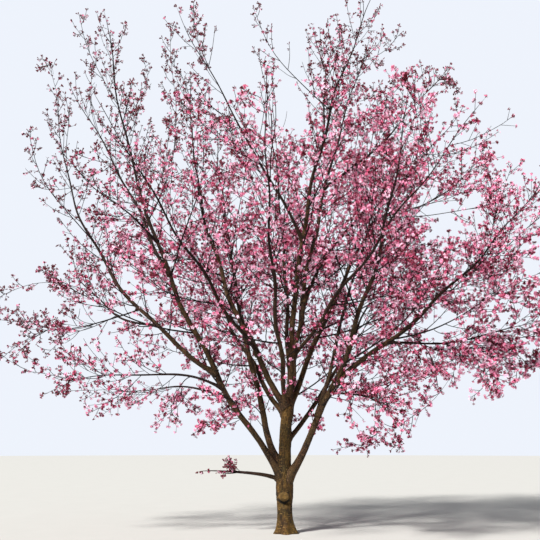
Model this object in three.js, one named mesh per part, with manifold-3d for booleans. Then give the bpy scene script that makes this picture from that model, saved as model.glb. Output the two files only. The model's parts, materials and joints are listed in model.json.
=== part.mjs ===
// A flowering cherry in full blossom: a short trunk with a flared foot, bare tapering boughs that
// fan out from it like a vase, and one mass of twigs and blossom sprays carried on each bough.
//
// Millimetres, +Z up, +X to the viewer's right, the viewer on the -Y side.
// The origin is the middle of the flat cut under the trunk, at ground level.

import * as THREE from 'three';
import { mergeVertices } from 'three/addons/utils/BufferGeometryUtils.js';
import Module from 'manifold-3d';

// Trunk: height to the fork, its bow and lean, and its radii
const TRUNK_HEIGHT = 2150;
const TRUNK_LEAN = 35;
const TRUNK_BOW = 32;
const TRUNK_FOOT_RADIUS = 120;
const TRUNK_FORK_RADIUS = 90;
const TRUNK_SIDES = 14;
const TRUNK_STEPS = 11;
const TRUNK_STEP_POWER = 1.4; // above 1, the rings crowd towards the foot
const DOME_START = 0.97;      // share of the height at which the top is rounded off
const DOME_LOSS = 0.38;       // share of the radius that goes there

// Root flare, and the swelling under the lowest boughs
const FLARE = 78;
const FLARE_FADE = 120;
const FLARE_LOBES = 5;
const FLARE_LOBE_DEPTH = 0.16;
const SWELL = 34;
const SWELL_HEIGHT = 760;
const SWELL_SPREAD = 300;

// Collar left by a pruned branch, on the front of the trunk
const COLLAR_HEIGHT = 600;
const COLLAR_RADIUS = 66;
const COLLAR_DEPTH = 50;
const COLLAR_SIDES = 10;
const COLLAR_SHOULDER = 0.82;  // share of its reach at which it is rounded in
const COLLAR_FACE = 0.72;      // share of its radius left at the cut

// Limbs: a bough is the bare first share of its limb and a mass grows on the rest
const CURVE_STEPS = 24;
const SWAY = 0.11;           // sideways wander of a limb, as a share of its direction
const SWAY_LENGTH = 1500;    // length of one wave of that wander
const SWAY_SLOWER = 0.8;     // waves up and down, beside those from side to side
const TAPER_POWER = 0.55;
const FOOT_COLLAR = 0.28;    // extra thickness where a limb leaves its parent
const FOOT_COLLAR_FADE = 130;
const LIMB_TIP_RADIUS = 6;
const BOUGH_SIDES = 6;
const BOUGH_STEP = 620;
const STEM_SIDES = 4;
const STEM_STEP = 800;
const CLEARANCE = 0.3;       // gap between solids that meet
const CUT_CLEARANCE = 0.42;  // growth of what a bough is cut by, as flats lie nearer than corners

// Twigs of a mass
const TWIG_SPACING = 610;
const FEWEST_TWIGS = 3;
const TWIG_REACH = 1250;
const TWIG_REACH_SHARE = 0.42; // no twig is longer than this share of its stem
const TWIG_END_SHARE = 0.36;   // length left for the twigs at the stem's tip
const TWIG_LEAN = 48;          // angle between stem and twig, in degrees
const TWIG_LIFT = 0.25;        // upward pull on a twig, as a share of its direction
const TWIG_RADIUS = 17;
const TWIG_SIDES = 3;
const TWIG_SHORTEST = 0.8;     // a twig's length varies upward from this share of its reach
const TWIG_VARIETY = 0.4;
const TWIG_TRIES = [1, 0.72, 0.48];             // shares of its length at which a twig is tried
const TWIG_SAMPLES = [0.3, 0.5, 0.67, 0.84, 1]; // where along it it is tested
const GOLDEN_ANGLE = 137.5;    // turn round the stem from one twig to the next
const TWIG_JITTER = 50;

// Blossom sprays: flat, pointed at both ends
const SPRAY_LENGTH = 560;
const SPRAY_WIDTH = 330;
const SPRAY_THICKNESS = 120;
const SPRAY_SINK = 2;          // how far a spray's root reaches past the twig's centre line
const SPRAY_SPREAD = 42;       // angle between twig and side spray, in degrees
const SPRAYS_ON_TWIG = [0.4, 0.72]; // where the side sprays leave a twig
const SIDE_SPRAY = 0.85;       // size of a side spray beside the one at the twig's end
const LAST_SPRAY = 0.97;       // where the end spray is rooted
const FULL_SIZE_STEM = 3000;   // stem that carries sprays of full size
const SMALLEST_SPRAY = 0.5;
const LARGEST_SPRAY = 1.1;

const ROOT_ZONE = 34;          // a spray's corner this near its root isn't tested

// Air kept between neighbouring masses, and round limbs
const SPACE_GAP = 16;

const BARK = { color: 0x5b4a3e, roughness: 0.85 };
const LIMB_BARK = { color: 0x4a3a35, roughness: 0.8 };
const BLOSSOM = { color: 0xe6a0b8, roughness: 0.7 };

// A number from 0 to 1 that looks random but is the same every time
function chance(a, b, c) {
  const wave = Math.sin(a * 127.1 + b * 311.7 + c * 74.7) * 43758.5453;
  return wave - Math.floor(wave);
}

// One limb. azimuth and rise give the way it sets out, in degrees, anticlockwise from +X and up
// from level. turn and lift are how far those change over its length. along is where it leaves
// its parent, as a share of the parent's length. foot is its radius there. bare is the share of
// its length that is bough.
function limb(name, parent, along, azimuth, rise, turn, lift, length, foot, bare) {
  return { name, parent, along, azimuth, rise, turn, lift, length, foot, bare };
}

const LIMBS = [
  // Low boughs of the trunk
  limb('left', 'trunk', 0.38, 190, 52, 28, 30, 9150, 54, 0.56),
  limb('left_back', 'trunk', 0.4, 140, 68, -20, 12, 7850, 60, 0.33),
  limb('right', 'trunk', 0.36, -21, 58, -34, 20, 7200, 60, 0.42),
  limb('back', 'trunk', 0.54, 84, 45, -10, 18, 6900, 54, 0.34),
  limb('low_left', 'trunk', 0.39, 186, 26, -8, -38, 1500, 36, 0.5),
  // Boughs of the leader and of the fork
  limb('right_inner', 'trunk', 0.75, 40, 82, -32, -12, 8600, 48, 0.62),
  limb('back_right', 'trunk', 0.69, 46, 38, 14, 20, 6200, 44, 0.34),
  limb('back_left', 'trunk', 0.89, 122, 41, 10, 18, 6500, 46, 0.34),
  limb('right_back', 'trunk', 0.94, 50, 58, -24, -2, 7850, 54, 0.3),
  limb('upper_left', 'trunk', 0.96, 172, 58, -60, 26, 7750, 54, 0.3),
  limb('front', 'trunk', 0.97, -100, 45, 10, -2, 5900, 42, 0.34),
  limb('centre_left', 'trunk', 0.99, 85, 74, 40, 4, 7550, 42, 0.27),
  limb('centre', 'trunk', 1, -70, 84, 55, -20, 7850, 54, 0.62),
  // Limbs of the left bough
  limb('far_left', 'left', 0.24, 180, 32, -24, 54, 6800, 40, 0.34),
  limb('left_low', 'left', 0.21, 193, 20, 0, -46, 3100, 22, 0.25),
  limb('left_skirt', 'left', 0.19, 150, 14, 4, -26, 3000, 20, 0.25),
  limb('left_outer', 'left', 0.45, 146, 60, 12, -4, 5300, 30, 0.25),
  limb('left_front', 'left', 0.52, -134, 22, 14, 2, 2400, 18, 0.2),
  limb('far_left_low', 'far_left', 0.2, 152, 12, -24, 50, 3800, 22, 0.25),
  // Limbs of the centre boughs
  limb('cross', 'centre', 0.37, -149, 54, 6, 0, 4600, 28, 0.22),
  limb('centre_tip', 'centre', 0.57, 40, 80, 100, -8, 3300, 20, 0.25),
  limb('right_inner_outer', 'right_inner', 0.28, 39, 61, -24, -34, 5600, 34, 0.25),
  limb('upper_right', 'right_inner', 0.56, -24, 28, -10, 20, 3300, 24, 0.2),
  limb('front_right', 'right_inner', 0.16, -56, 36, 10, 4, 5500, 34, 0.3),
  limb('front_left', 'upper_left', 0.14, -128, 39, 6, 2, 5400, 34, 0.3),
  // Limbs of the right bough
  limb('right_back_low', 'right', 0.18, 44, 72, -22, -6, 5400, 36, 0.35),
  limb('right_mid', 'right', 0.27, 8, 34, 4, 18, 6000, 44, 0.32),
  limb('right_skirt', 'right', 0.25, -60, -4, -12, -26, 2300, 20, 0.25),
  limb('right_low', 'right_mid', 0.2, -10, -2, -2, 22, 3100, 20, 0.18),
];

const wasm = await Module();
wasm.setup();

// Helpers for directions

function unit(azimuth, rise) {
  const a = THREE.MathUtils.degToRad(azimuth);
  const e = THREE.MathUtils.degToRad(rise);
  return new THREE.Vector3(Math.cos(a) * Math.cos(e), Math.sin(a) * Math.cos(e), Math.sin(e));
}

// Any unit vector square to the given one
function squareTo(direction) {
  const steep = Math.abs(direction.z) > 0.9;
  const helper = steep ? new THREE.Vector3(1, 0, 0) : new THREE.Vector3(0, 0, 1);
  return helper.cross(direction).normalize();
}

// The direction that leans off an axis by an angle, at a turn round it; both in degrees
function leaning(axis, lean, turn) {
  const side = squareTo(axis).applyAxisAngle(axis, THREE.MathUtils.degToRad(turn));
  const angle = THREE.MathUtils.degToRad(lean);
  return axis.clone().multiplyScalar(Math.cos(angle)).addScaledVector(side, Math.sin(angle));
}

// Courses: a course is the list of points along the middle of a trunk, limb or twig

function trunkCourse() {
  const points = [];
  for (let i = 0; i <= CURVE_STEPS; i += 1) {
    const share = i / CURVE_STEPS;
    const x = TRUNK_LEAN * share ** 2 - TRUNK_BOW * Math.sin(Math.PI * share);
    points.push(new THREE.Vector3(x, 0, TRUNK_HEIGHT * share));
  }
  return points;
}

// The direction of a limb turns and lifts evenly along it, and wanders in two slow waves
function limbCourse(spec, number, start) {
  const points = [start.clone()];
  const waves = spec.length / SWAY_LENGTH;
  const phases = [chance(number, 1, 0), chance(number, 2, 0)];
  for (let i = 0; i < CURVE_STEPS; i += 1) {
    const share = (i + 0.5) / CURVE_STEPS;
    const azimuth = spec.azimuth + spec.turn * share;
    const direction = unit(azimuth, spec.rise + spec.lift * share);
    const side = unit(azimuth + 90, 0);
    const over = direction.clone().cross(side);
    direction.addScaledVector(side, SWAY * Math.sin(2 * Math.PI * (waves * share + phases[0])));
    const rising = SWAY_SLOWER * waves * share + phases[1];
    direction.addScaledVector(over, SWAY * Math.sin(2 * Math.PI * rising));
    direction.normalize();
    points.push(points[i].clone().addScaledVector(direction, spec.length / CURVE_STEPS));
  }
  return points;
}

function pointAt(course, share) {
  const place = THREE.MathUtils.clamp(share, 0, 1) * (course.length - 1);
  const i = Math.min(Math.floor(place), course.length - 2);
  return course[i].clone().lerp(course[i + 1], place - i);
}

function directionAt(course, share) {
  const step = 0.5 / (course.length - 1);
  return pointAt(course, share + step).sub(pointAt(course, share - step)).normalize();
}

function trunkRadius(height) {
  const share = height / TRUNK_HEIGHT;
  const plain = THREE.MathUtils.lerp(TRUNK_FOOT_RADIUS, TRUNK_FORK_RADIUS, share);
  const flare = FLARE * Math.exp(-height / FLARE_FADE);
  const swell = SWELL * Math.exp(-(((height - SWELL_HEIGHT) / SWELL_SPREAD) ** 2));
  const dome = DOME_LOSS * THREE.MathUtils.smoothstep(share, DOME_START, 1);
  return (plain + flare + swell) * (1 - dome);
}

function limbRadius(spec, share) {
  const plain = LIMB_TIP_RADIUS + (spec.foot - LIMB_TIP_RADIUS) * (1 - share) ** TAPER_POWER;
  return plain * (1 + FOOT_COLLAR * Math.exp((-share * spec.length) / FOOT_COLLAR_FADE));
}

// Solids

function solidFrom(geometry) {
  geometry.deleteAttribute('normal');
  geometry.deleteAttribute('uv');
  const merged = mergeVertices(geometry);
  return new wasm.Manifold(new wasm.Mesh({
    numProp: 3,
    vertProperties: Float32Array.from(merged.attributes.position.array),
    triVerts: Uint32Array.from(merged.index.array),
  }));
}

function geometryFrom(solid) {
  const mesh = solid.getMesh();
  const geometry = new THREE.BufferGeometry();
  geometry.setAttribute('position', new THREE.BufferAttribute(mesh.vertProperties, 3));
  geometry.setIndex(new THREE.BufferAttribute(mesh.triVerts, 1));
  geometry.computeVertexNormals();
  return geometry;
}

// The largest body of a solid, so that a loose scrap or a sealed hollow goes
function largestBody(solid) {
  const bodies = solid.decompose();
  return bodies.reduce((best, body) => (body.volume() > best.volume() ? body : best));
}

// A closed cylinder bent onto rings. Each ring has a centre, a direction and a function that
// gives its radius at an angle. A pointed one ends in a single point at its last ring.
function bentCylinder(rings, sides, pointed) {
  const steps = rings.length - 1;
  const geometry = new THREE.CylinderGeometry(pointed ? 0 : 1, 1, 1, sides, steps);
  const position = geometry.attributes.position;
  const turn = new THREE.Quaternion();
  let side = squareTo(rings[0].direction);
  const frames = rings.map((ring, i) => {
    if (i > 0) {
      turn.setFromUnitVectors(rings[i - 1].direction, ring.direction);
      side = side.clone().applyQuaternion(turn);
    }
    return { side, other: side.clone().cross(ring.direction) };
  });
  for (let v = 0; v < position.count; v += 1) {
    const k = Math.round((position.getY(v) + 0.5) * steps);
    const { side: across, other } = frames[k];
    const place = rings[k].centre.clone();
    if (Math.hypot(position.getX(v), position.getZ(v)) > 1e-6) {
      const angle = Math.atan2(position.getZ(v), position.getX(v));
      const radius = rings[k].radius(angle);
      place.addScaledVector(across, radius * Math.cos(angle));
      place.addScaledVector(other, radius * Math.sin(angle));
    }
    position.setXYZ(v, place.x, place.y, place.z);
  }
  return solidFrom(geometry);
}

function trunkSolid(course, extra) {
  const rings = [];
  for (let i = 0; i <= TRUNK_STEPS; i += 1) {
    const share = (i / TRUNK_STEPS) ** TRUNK_STEP_POWER;
    const height = TRUNK_HEIGHT * share;
    const lobes = FLARE_LOBE_DEPTH * Math.exp(-height / (2 * FLARE_FADE));
    rings.push({
      centre: pointAt(course, share).add(new THREE.Vector3(0, 0, i === TRUNK_STEPS ? extra : 0)),
      direction: new THREE.Vector3(0, 0, 1),
      radius: (angle) => trunkRadius(height) * (1 + lobes * Math.cos(FLARE_LOBES * angle)) + extra,
    });
  }
  return bentCylinder(rings, TRUNK_SIDES, false);
}

// The rings of a limb between two shares of its length, fattened by extra
function limbRings(spec, from, to, step, extra) {
  const steps = Math.max(2, Math.round(((to - from) * spec.length) / step));
  const rings = [];
  for (let i = 0; i <= steps; i += 1) {
    const share = from + ((to - from) * i) / steps;
    const radius = limbRadius(spec, share) + extra;
    rings.push({
      centre: pointAt(spec.course, share),
      direction: directionAt(spec.course, share),
      radius: () => radius,
    });
  }
  return rings;
}

function boughSolid(spec, extra) {
  return bentCylinder(limbRings(spec, 0, spec.bare, BOUGH_STEP, extra), BOUGH_SIDES, false);
}

function collarSolid(course) {
  const centre = pointAt(course, COLLAR_HEIGHT / TRUNK_HEIGHT);
  const reach = trunkRadius(COLLAR_HEIGHT) + COLLAR_DEPTH;
  const front = new THREE.Vector3(0, -1, 0);
  const rings = [0, COLLAR_SHOULDER, 1].map((share) => ({
    centre: centre.clone().addScaledVector(front, reach * share),
    direction: front,
    radius: () => (share < 1 ? COLLAR_RADIUS : COLLAR_RADIUS * COLLAR_FACE),
  }));
  return bentCylinder(rings, COLLAR_SIDES, false);
}

// The trunk, the limbs' courses and the spaces of the masses

const trunkLine = trunkCourse();
const courses = new Map([['trunk', trunkLine]]);
const limbs = LIMBS.map((spec, number) => {
  const start = pointAt(courses.get(spec.parent), spec.along);
  const course = limbCourse(spec, number, start);
  courses.set(spec.name, course);
  return { ...spec, number, course };
});

// Straight pieces of a limb's course between two shares, as obstacles with a radius
function stretches(spec, from, to) {
  const pieces = [];
  const count = Math.max(1, Math.ceil((to - from) * CURVE_STEPS));
  for (let i = 0; i < count; i += 1) {
    const a = from + ((to - from) * i) / count;
    const b = from + ((to - from) * (i + 1)) / count;
    const ends = new THREE.Line3(pointAt(spec.course, a), pointAt(spec.course, b));
    pieces.push({ ends, radius: limbRadius(spec, a) });
  }
  return pieces;
}

const boughStretches = limbs.flatMap((spec) => stretches(spec, 0, spec.bare));
const stemStretches = limbs.map((spec) => stretches(spec, spec.bare, 1));
const trunkEnds = new THREE.Line3(pointAt(trunkLine, 0), pointAt(trunkLine, 1));
boughStretches.push({ ends: trunkEnds, radius: TRUNK_FOOT_RADIUS + SWELL });

const nearest = new THREE.Vector3();

function distanceTo(piece, point) {
  return piece.ends.closestPointToPoint(point, true, nearest).distanceTo(point);
}

// Whether a ball lies in a mass's own space: nearer to its own stem than to any other mass's
// stem, and clear of every bough
function inSpace(number, point, radius) {
  const own = Math.min(...stemStretches[number].map((piece) => distanceTo(piece, point)));
  const room = own + 2 * radius + SPACE_GAP;
  const clearOfStems = stemStretches.every((pieces, i) => (
    i === number || pieces.every((piece) => distanceTo(piece, point) > room)
  ));
  const clearOfBoughs = () => boughStretches.every((piece) => (
    distanceTo(piece, point) > piece.radius + radius + SPACE_GAP
  ));
  return clearOfStems && clearOfBoughs() && point.z - radius > SPACE_GAP;
}

// A blossom spray: an octahedron drawn out along its direction
function spraySolid(root, direction, turn, scale) {
  const across = squareTo(direction).applyAxisAngle(direction, turn);
  const other = across.clone().cross(direction);
  const half = (scale * SPRAY_LENGTH) / 2;
  const geometry = new THREE.OctahedronGeometry(1);
  geometry.scale((scale * SPRAY_WIDTH) / 2, half, (scale * SPRAY_THICKNESS) / 2);
  geometry.applyMatrix4(new THREE.Matrix4().makeBasis(across, direction, other));
  const middle = root.clone().addScaledVector(direction, half - SPRAY_SINK);
  geometry.translate(middle.x, middle.y, middle.z);
  return { geometry, middle };
}

// A spray is kept only where its corners and the middles of its edges lie in the mass's space
function keptSpray(number, root, direction, turn, scale) {
  const { geometry, middle } = spraySolid(root, direction, turn, scale);
  const position = geometry.attributes.position;
  for (let v = 0; v < position.count; v += 1) {
    const corner = new THREE.Vector3().fromBufferAttribute(position, v);
    const nearRoot = corner.distanceTo(root) < ROOT_ZONE;
    const halfway = corner.clone().lerp(middle, 0.5);
    if (!nearRoot && !inSpace(number, corner, 0)) return null;
    if (!inSpace(number, halfway, 0)) return null;
  }
  return solidFrom(geometry);
}

// The two ends of a twig, which is pulled up a little from the way it sets out. It is tried at
// shorter lengths until all of it past its root lies in the mass's space.
function twigCourse(number, root, direction, length) {
  const way = direction.clone();
  way.z += TWIG_LIFT;
  way.normalize();
  const ends = (cut) => [root, root.clone().addScaledVector(way, cut * length)];
  const fits = (points) => TWIG_SAMPLES.every((share) => (
    inSpace(number, pointAt(points, share), TWIG_RADIUS)
  ));
  return TWIG_TRIES.map(ends).find(fits);
}

function twigSolid(points) {
  const direction = directionAt(points, 1);
  const rings = points.map((centre) => ({ centre, direction, radius: () => TWIG_RADIUS }));
  return bentCylinder(rings, TWIG_SIDES, true);
}

// A twig and the sprays on it, or nothing where it finds no room. Each spray that finds none is
// left out.
function twigPieces(spec, stem, j, share, size) {
  const { number } = spec;
  const turn = 360 * chance(number, 0, 3) + GOLDEN_ANGLE * j + TWIG_JITTER * chance(number, j, 4);
  const direction = leaning(directionAt(stem, share), TWIG_LEAN, turn);
  const most = Math.min(TWIG_REACH, TWIG_REACH_SHARE * (1 - spec.bare) * spec.length);
  const variety = TWIG_SHORTEST + TWIG_VARIETY * chance(number, j, 5);
  const reach = most * THREE.MathUtils.lerp(1, TWIG_END_SHARE, share) * variety;
  const twig = twigCourse(number, pointAt(stem, share), direction, reach);
  if (!twig) return [];
  const way = directionAt(twig, 1);
  const sideSprays = SPRAYS_ON_TWIG.map((place, k) => {
    const spread = leaning(way, SPRAY_SPREAD, 180 * k + 90 * chance(number, j, 6 + k));
    const roll = Math.PI * chance(number, j, 8 + k);
    return keptSpray(number, pointAt(twig, place), spread, roll, size * SIDE_SPRAY);
  });
  const roll = Math.PI * chance(number, j, 10);
  const lastSpray = keptSpray(number, pointAt(twig, LAST_SPRAY), way, roll, size);
  return [twigSolid(twig), ...sideSprays, lastSpray];
}

// A mass: the stem, which goes on from its bough and ends in a spray, and its twigs
function massSolid(spec) {
  const { number, length } = spec;
  const start = spec.bare + CLEARANCE / length;
  const end = 1 - SPRAY_LENGTH / length;
  const stemLength = (1 - spec.bare) * length;
  const rings = limbRings(spec, start, end, STEM_STEP, 0);
  const stem = rings.map((ring) => ring.centre);
  const size = THREE.MathUtils.clamp(stemLength / FULL_SIZE_STEM, SMALLEST_SPRAY, LARGEST_SPRAY);
  const twigs = Math.max(FEWEST_TWIGS, Math.round(stemLength / TWIG_SPACING));
  const pieces = [bentCylinder(rings, STEM_SIDES, false)];
  for (let j = 0; j < twigs; j += 1) {
    pieces.push(...twigPieces(spec, stem, j, (j + 0.5) / twigs, size));
  }
  pieces.push(keptSpray(number, pointAt(stem, 1), directionAt(spec.course, 1), 0, size));
  const kept = pieces.filter((piece) => piece !== null);
  return largestBody(kept.reduce((sum, piece) => sum.add(piece)));
}

// The pieces as named meshes

function node(name, solid, look) {
  const material = new THREE.MeshStandardMaterial({ ...look, metalness: 0 });
  const mesh = new THREE.Mesh(geometryFrom(solid), material);
  mesh.name = name;
  return mesh;
}

const tree = new THREE.Group();
tree.add(node('trunk', trunkSolid(trunkLine, 0).add(collarSolid(trunkLine)), BARK));

// Each bough is cut clear of the trunk and of the boughs before it
let taken = trunkSolid(trunkLine, CUT_CLEARANCE);
for (const spec of limbs) {
  const bough = largestBody(boughSolid(spec, 0).subtract(taken));
  tree.add(node(`${spec.name}_bough`, bough, LIMB_BARK));
  taken = taken.add(boughSolid(spec, CUT_CLEARANCE));
}

for (const spec of limbs) {
  tree.add(node(`${spec.name}_blossom`, massSolid(spec), BLOSSOM));
}

export default tree;
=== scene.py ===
"""A flowering cherry in full blossom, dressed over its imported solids.

The trunk and the limbs get bark in relief. Each blossom mass becomes branches, twigs, shoots, buds and
flowers that grow on from the limbs by the rule of the solids, carried to finer twigs within the same reach.
Metres, +Z up, +X to the viewer's right, the viewer on the -Y side, the origin under the trunk.
"""

import json
import logging
import math
from dataclasses import dataclass, field
from enum import Enum, IntEnum
from typing import Self

import bpy
import numpy as np
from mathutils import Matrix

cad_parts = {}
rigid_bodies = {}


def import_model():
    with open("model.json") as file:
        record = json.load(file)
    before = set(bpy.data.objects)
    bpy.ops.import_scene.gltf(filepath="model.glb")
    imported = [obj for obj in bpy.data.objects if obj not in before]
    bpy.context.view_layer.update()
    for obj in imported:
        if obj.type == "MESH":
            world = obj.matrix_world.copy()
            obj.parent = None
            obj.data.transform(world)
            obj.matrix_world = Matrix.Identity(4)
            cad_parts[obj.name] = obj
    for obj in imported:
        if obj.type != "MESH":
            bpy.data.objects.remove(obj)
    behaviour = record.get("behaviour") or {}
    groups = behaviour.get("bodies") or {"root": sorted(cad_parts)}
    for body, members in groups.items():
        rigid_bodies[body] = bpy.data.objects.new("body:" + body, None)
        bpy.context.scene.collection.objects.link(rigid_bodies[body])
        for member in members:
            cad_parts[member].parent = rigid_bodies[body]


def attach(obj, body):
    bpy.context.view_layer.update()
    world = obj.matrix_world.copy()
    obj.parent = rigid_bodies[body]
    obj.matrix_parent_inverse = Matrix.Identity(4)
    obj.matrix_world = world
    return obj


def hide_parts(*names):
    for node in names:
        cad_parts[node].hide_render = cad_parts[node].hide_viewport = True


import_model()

LOG = logging.getLogger("cherry")
Pair = tuple[float, float]
Triple = tuple[float, float, float]
Colour = tuple[int, int, int]
Array = np.ndarray
Socket = bpy.types.NodeSocket
Input = Socket | float | tuple

UP = np.array([0.0, 0.0, 1.0])
EAST = np.array([1.0, 0.0, 0.0])
FIFTH = 2 * math.pi / 5
GOLDEN_ANGLE = 137.5
TINY = 1e-12
NUDGE = 1e-6
# The viewer's eye, and how far ahead of it a place counts as at least
EYE = np.array([-0.27, -12.5, 1.45])
NEAREST = 0.5
# Factors of the draws that look random, and of the noise on whole coordinates
DRAW_FACTORS = (127.1, 311.7, 74.7, 43758.5453)
CELL_FACTORS = np.array([73856093, 19349663, 83492791])
SEED_FACTOR = 2654435761
MIX_FACTORS = (1597334677, 2246822519)
WORD = 0xFFFFFFFF
HALF_WORD = 0xFFFF


class Slot(Enum):
    """The record's material slots."""

    TRUNK = "trunk_bark"
    BOUGH = "bough_bark"
    BLOSSOM = "blossom"


class Tint(Enum):
    """Petal colours as 8-bit display values, from the palest sprays to the deepest."""

    PALE = (255, 220, 240)
    LIGHT = (255, 184, 216)
    ROSE = (251, 145, 187)
    WARM = (206, 78, 120)
    DEEP = (106, 16, 38)


# How often a spray has each tint
TINT_SHARES = {Tint.PALE: 0.15, Tint.LIGHT: 0.237, Tint.ROSE: 0.225, Tint.WARM: 0.241, Tint.DEEP: 0.147}


class Draw(IntEnum):
    """Which of the draws for a pair of indices is meant."""

    LIMB_SWAY = 0
    TWIG_TURN = 3
    STEM_JITTER = 4
    STEM_LENGTH = 5
    BETWEEN_TURN = 12
    BARE_JITTER = 14
    BARE_LENGTH = 15
    TWIG_BOW = 16
    TWIG_WAVE = 17
    TWIG_SHOWN = 18
    SHOOT_TURN = 20
    SHOOT_LEAN = 21
    SHOOT_LENGTH = 22
    SHOOT_SHOWN = 23
    SPRAY_TINT = 30
    BRANCH_TURN = 40
    BRANCH_LEAN = 41
    BRANCH_LENGTH = 42
    BRANCH_WAVE = 43
    SIDE_JITTER = 44
    SIDE_LENGTH = 45
    THICKET_AZIMUTH = 50
    THICKET_RISE = 51
    THICKET_REACH = 52


@dataclass(frozen=True)
class LimbPlan:
    """One limb, as given for the solids.

    azimuth and rise give the way it sets out in degrees, turn and lift how far those change over its
    length. along is where it leaves its parent, foot its radius there and bare the share that is bough.
    """

    name: str
    parent: str
    along: float
    azimuth: float
    rise: float
    turn: float
    lift: float
    length: float
    foot: float
    bare: float


PLANS = tuple(LimbPlan(*row) for row in (
    ("left", "trunk", 0.38, 190, 52, 28, 30, 9.15, 0.054, 0.56),
    ("left_back", "trunk", 0.4, 140, 68, -20, 12, 7.85, 0.06, 0.33),
    ("right", "trunk", 0.36, -21, 58, -34, 20, 7.2, 0.06, 0.42),
    ("back", "trunk", 0.54, 84, 45, -10, 18, 6.9, 0.054, 0.34),
    ("low_left", "trunk", 0.39, 186, 26, -8, -38, 1.5, 0.036, 0.5),
    ("right_inner", "trunk", 0.75, 40, 82, -32, -12, 8.6, 0.048, 0.62),
    ("back_right", "trunk", 0.69, 46, 38, 14, 20, 6.2, 0.044, 0.34),
    ("back_left", "trunk", 0.89, 122, 41, 10, 18, 6.5, 0.046, 0.34),
    ("right_back", "trunk", 0.94, 50, 58, -24, -2, 7.85, 0.054, 0.3),
    ("upper_left", "trunk", 0.96, 172, 58, -60, 26, 7.75, 0.054, 0.3),
    ("front", "trunk", 0.97, -100, 45, 10, -2, 5.9, 0.042, 0.34),
    ("centre_left", "trunk", 0.99, 85, 74, 40, 4, 7.55, 0.042, 0.27),
    ("centre", "trunk", 1, -70, 84, 55, -20, 7.85, 0.054, 0.62),
    ("far_left", "left", 0.24, 180, 32, -24, 54, 6.8, 0.04, 0.34),
    ("left_low", "left", 0.21, 193, 20, 0, -46, 3.1, 0.022, 0.25),
    ("left_skirt", "left", 0.19, 150, 14, 4, -26, 3.0, 0.02, 0.25),
    ("left_outer", "left", 0.45, 146, 60, 12, -4, 5.3, 0.03, 0.25),
    ("left_front", "left", 0.52, -134, 22, 14, 2, 2.4, 0.018, 0.2),
    ("far_left_low", "far_left", 0.2, 152, 12, -24, 50, 3.8, 0.022, 0.25),
    ("cross", "centre", 0.37, -149, 54, 6, 0, 4.6, 0.028, 0.22),
    ("centre_tip", "centre", 0.57, 40, 80, 100, -8, 3.3, 0.02, 0.25),
    ("right_inner_outer", "right_inner", 0.28, 39, 61, -24, -34, 5.6, 0.034, 0.25),
    ("upper_right", "right_inner", 0.56, -24, 28, -10, 20, 3.3, 0.024, 0.2),
    ("front_right", "right_inner", 0.16, -56, 36, 10, 4, 5.5, 0.034, 0.3),
    ("front_left", "upper_left", 0.14, -128, 39, 6, 2, 5.4, 0.034, 0.3),
    ("right_back_low", "right", 0.18, 44, 72, -22, -6, 5.4, 0.036, 0.35),
    ("right_mid", "right", 0.27, 8, 34, 4, 18, 6.0, 0.044, 0.32),
    ("right_skirt", "right", 0.25, -60, -4, -12, -26, 2.3, 0.02, 0.25),
    ("right_low", "right_mid", 0.2, -10, -2, -2, 22, 3.1, 0.02, 0.18),
))
NUMBERS = {plan.name: number for number, plan in enumerate(PLANS)}


# Numbers and directions


def chance(first: Array, second: Array, draw: Draw) -> Array:
    """Numbers from 0 to 1 that look random: the fraction of a large multiple of a sine.

    Args:
        first: First index, such as a limb's.
        second: Second index, such as a twig's.
        draw: Which of their draws it is.

    Returns:
        The same numbers every time.
    """
    a, b, c, height = DRAW_FACTORS
    wave = np.sin(np.asarray(first) * a + np.asarray(second) * b + draw * c) * height
    return wave - np.floor(wave)


def blend(low: Array, high: Array, share: Array) -> Array:
    """The value that lies share of the way from low to high."""
    return low + (high - low) * share


def ranged(least_and_span: Pair, share: Array) -> Array:
    """A least value plus share times a span."""
    return least_and_span[0] + least_and_span[1] * share


def smooth_step(value: Array, start: float, end: float) -> Array:
    """0 before start, 1 after end, and three squares less two cubes of the share in between."""
    share = np.clip((value - start) / (end - start), 0, 1)
    return share * share * (3 - 2 * share)


def bell(away: Array) -> Array:
    """1 at nothing and less to both sides: e to the power of minus the square."""
    return np.exp(-(away**2))


def turns(count: int) -> Array:
    """The angles of one turn in equal steps."""
    return 2 * np.pi * np.arange(count) / count


def normed(vectors: Array) -> Array:
    """The vectors divided by their lengths."""
    return vectors / np.maximum(np.linalg.norm(vectors, axis=-1, keepdims=True), TINY)


def unit(azimuth: Array, rise: Array) -> Array:
    """Directions from an azimuth off +X and a rise off level, in degrees."""
    a, e = np.broadcast_arrays(np.radians(azimuth), np.radians(rise))
    return np.stack([np.cos(a) * np.cos(e), np.sin(a) * np.cos(e), np.sin(e)], axis=-1)


def square_to(directions: Array, steep: float = 0.9) -> Array:
    """Unit vectors square to directions: Z, or X where they rise by more than steep, crossed with them."""
    helper = np.where(np.abs(directions[..., 2:3]) > steep, EAST, UP)
    return normed(np.cross(helper, directions))


def axes_across(directions: Array) -> tuple[Array, Array]:
    """Two unit vectors across each direction, square to it and to each other."""
    across = square_to(directions)
    return across, np.cross(directions, across)


def around(angles: Array, across: Array, other: Array) -> Array:
    """Directions at angles round an axis: cosine times one vector across it, plus sine times the other."""
    return np.cos(angles)[..., None] * across + np.sin(angles)[..., None] * other


def leaning(axis: Array, lean: Array, turn: Array) -> Array:
    """Directions at an angle off an axis, turned round it: its cosine along the axis, its sine across."""
    lean, turn = np.radians(np.asarray(lean))[..., None], np.radians(np.asarray(turn))
    return axis * np.cos(lean) + around(turn, *axes_across(axis)) * np.sin(lean)


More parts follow.
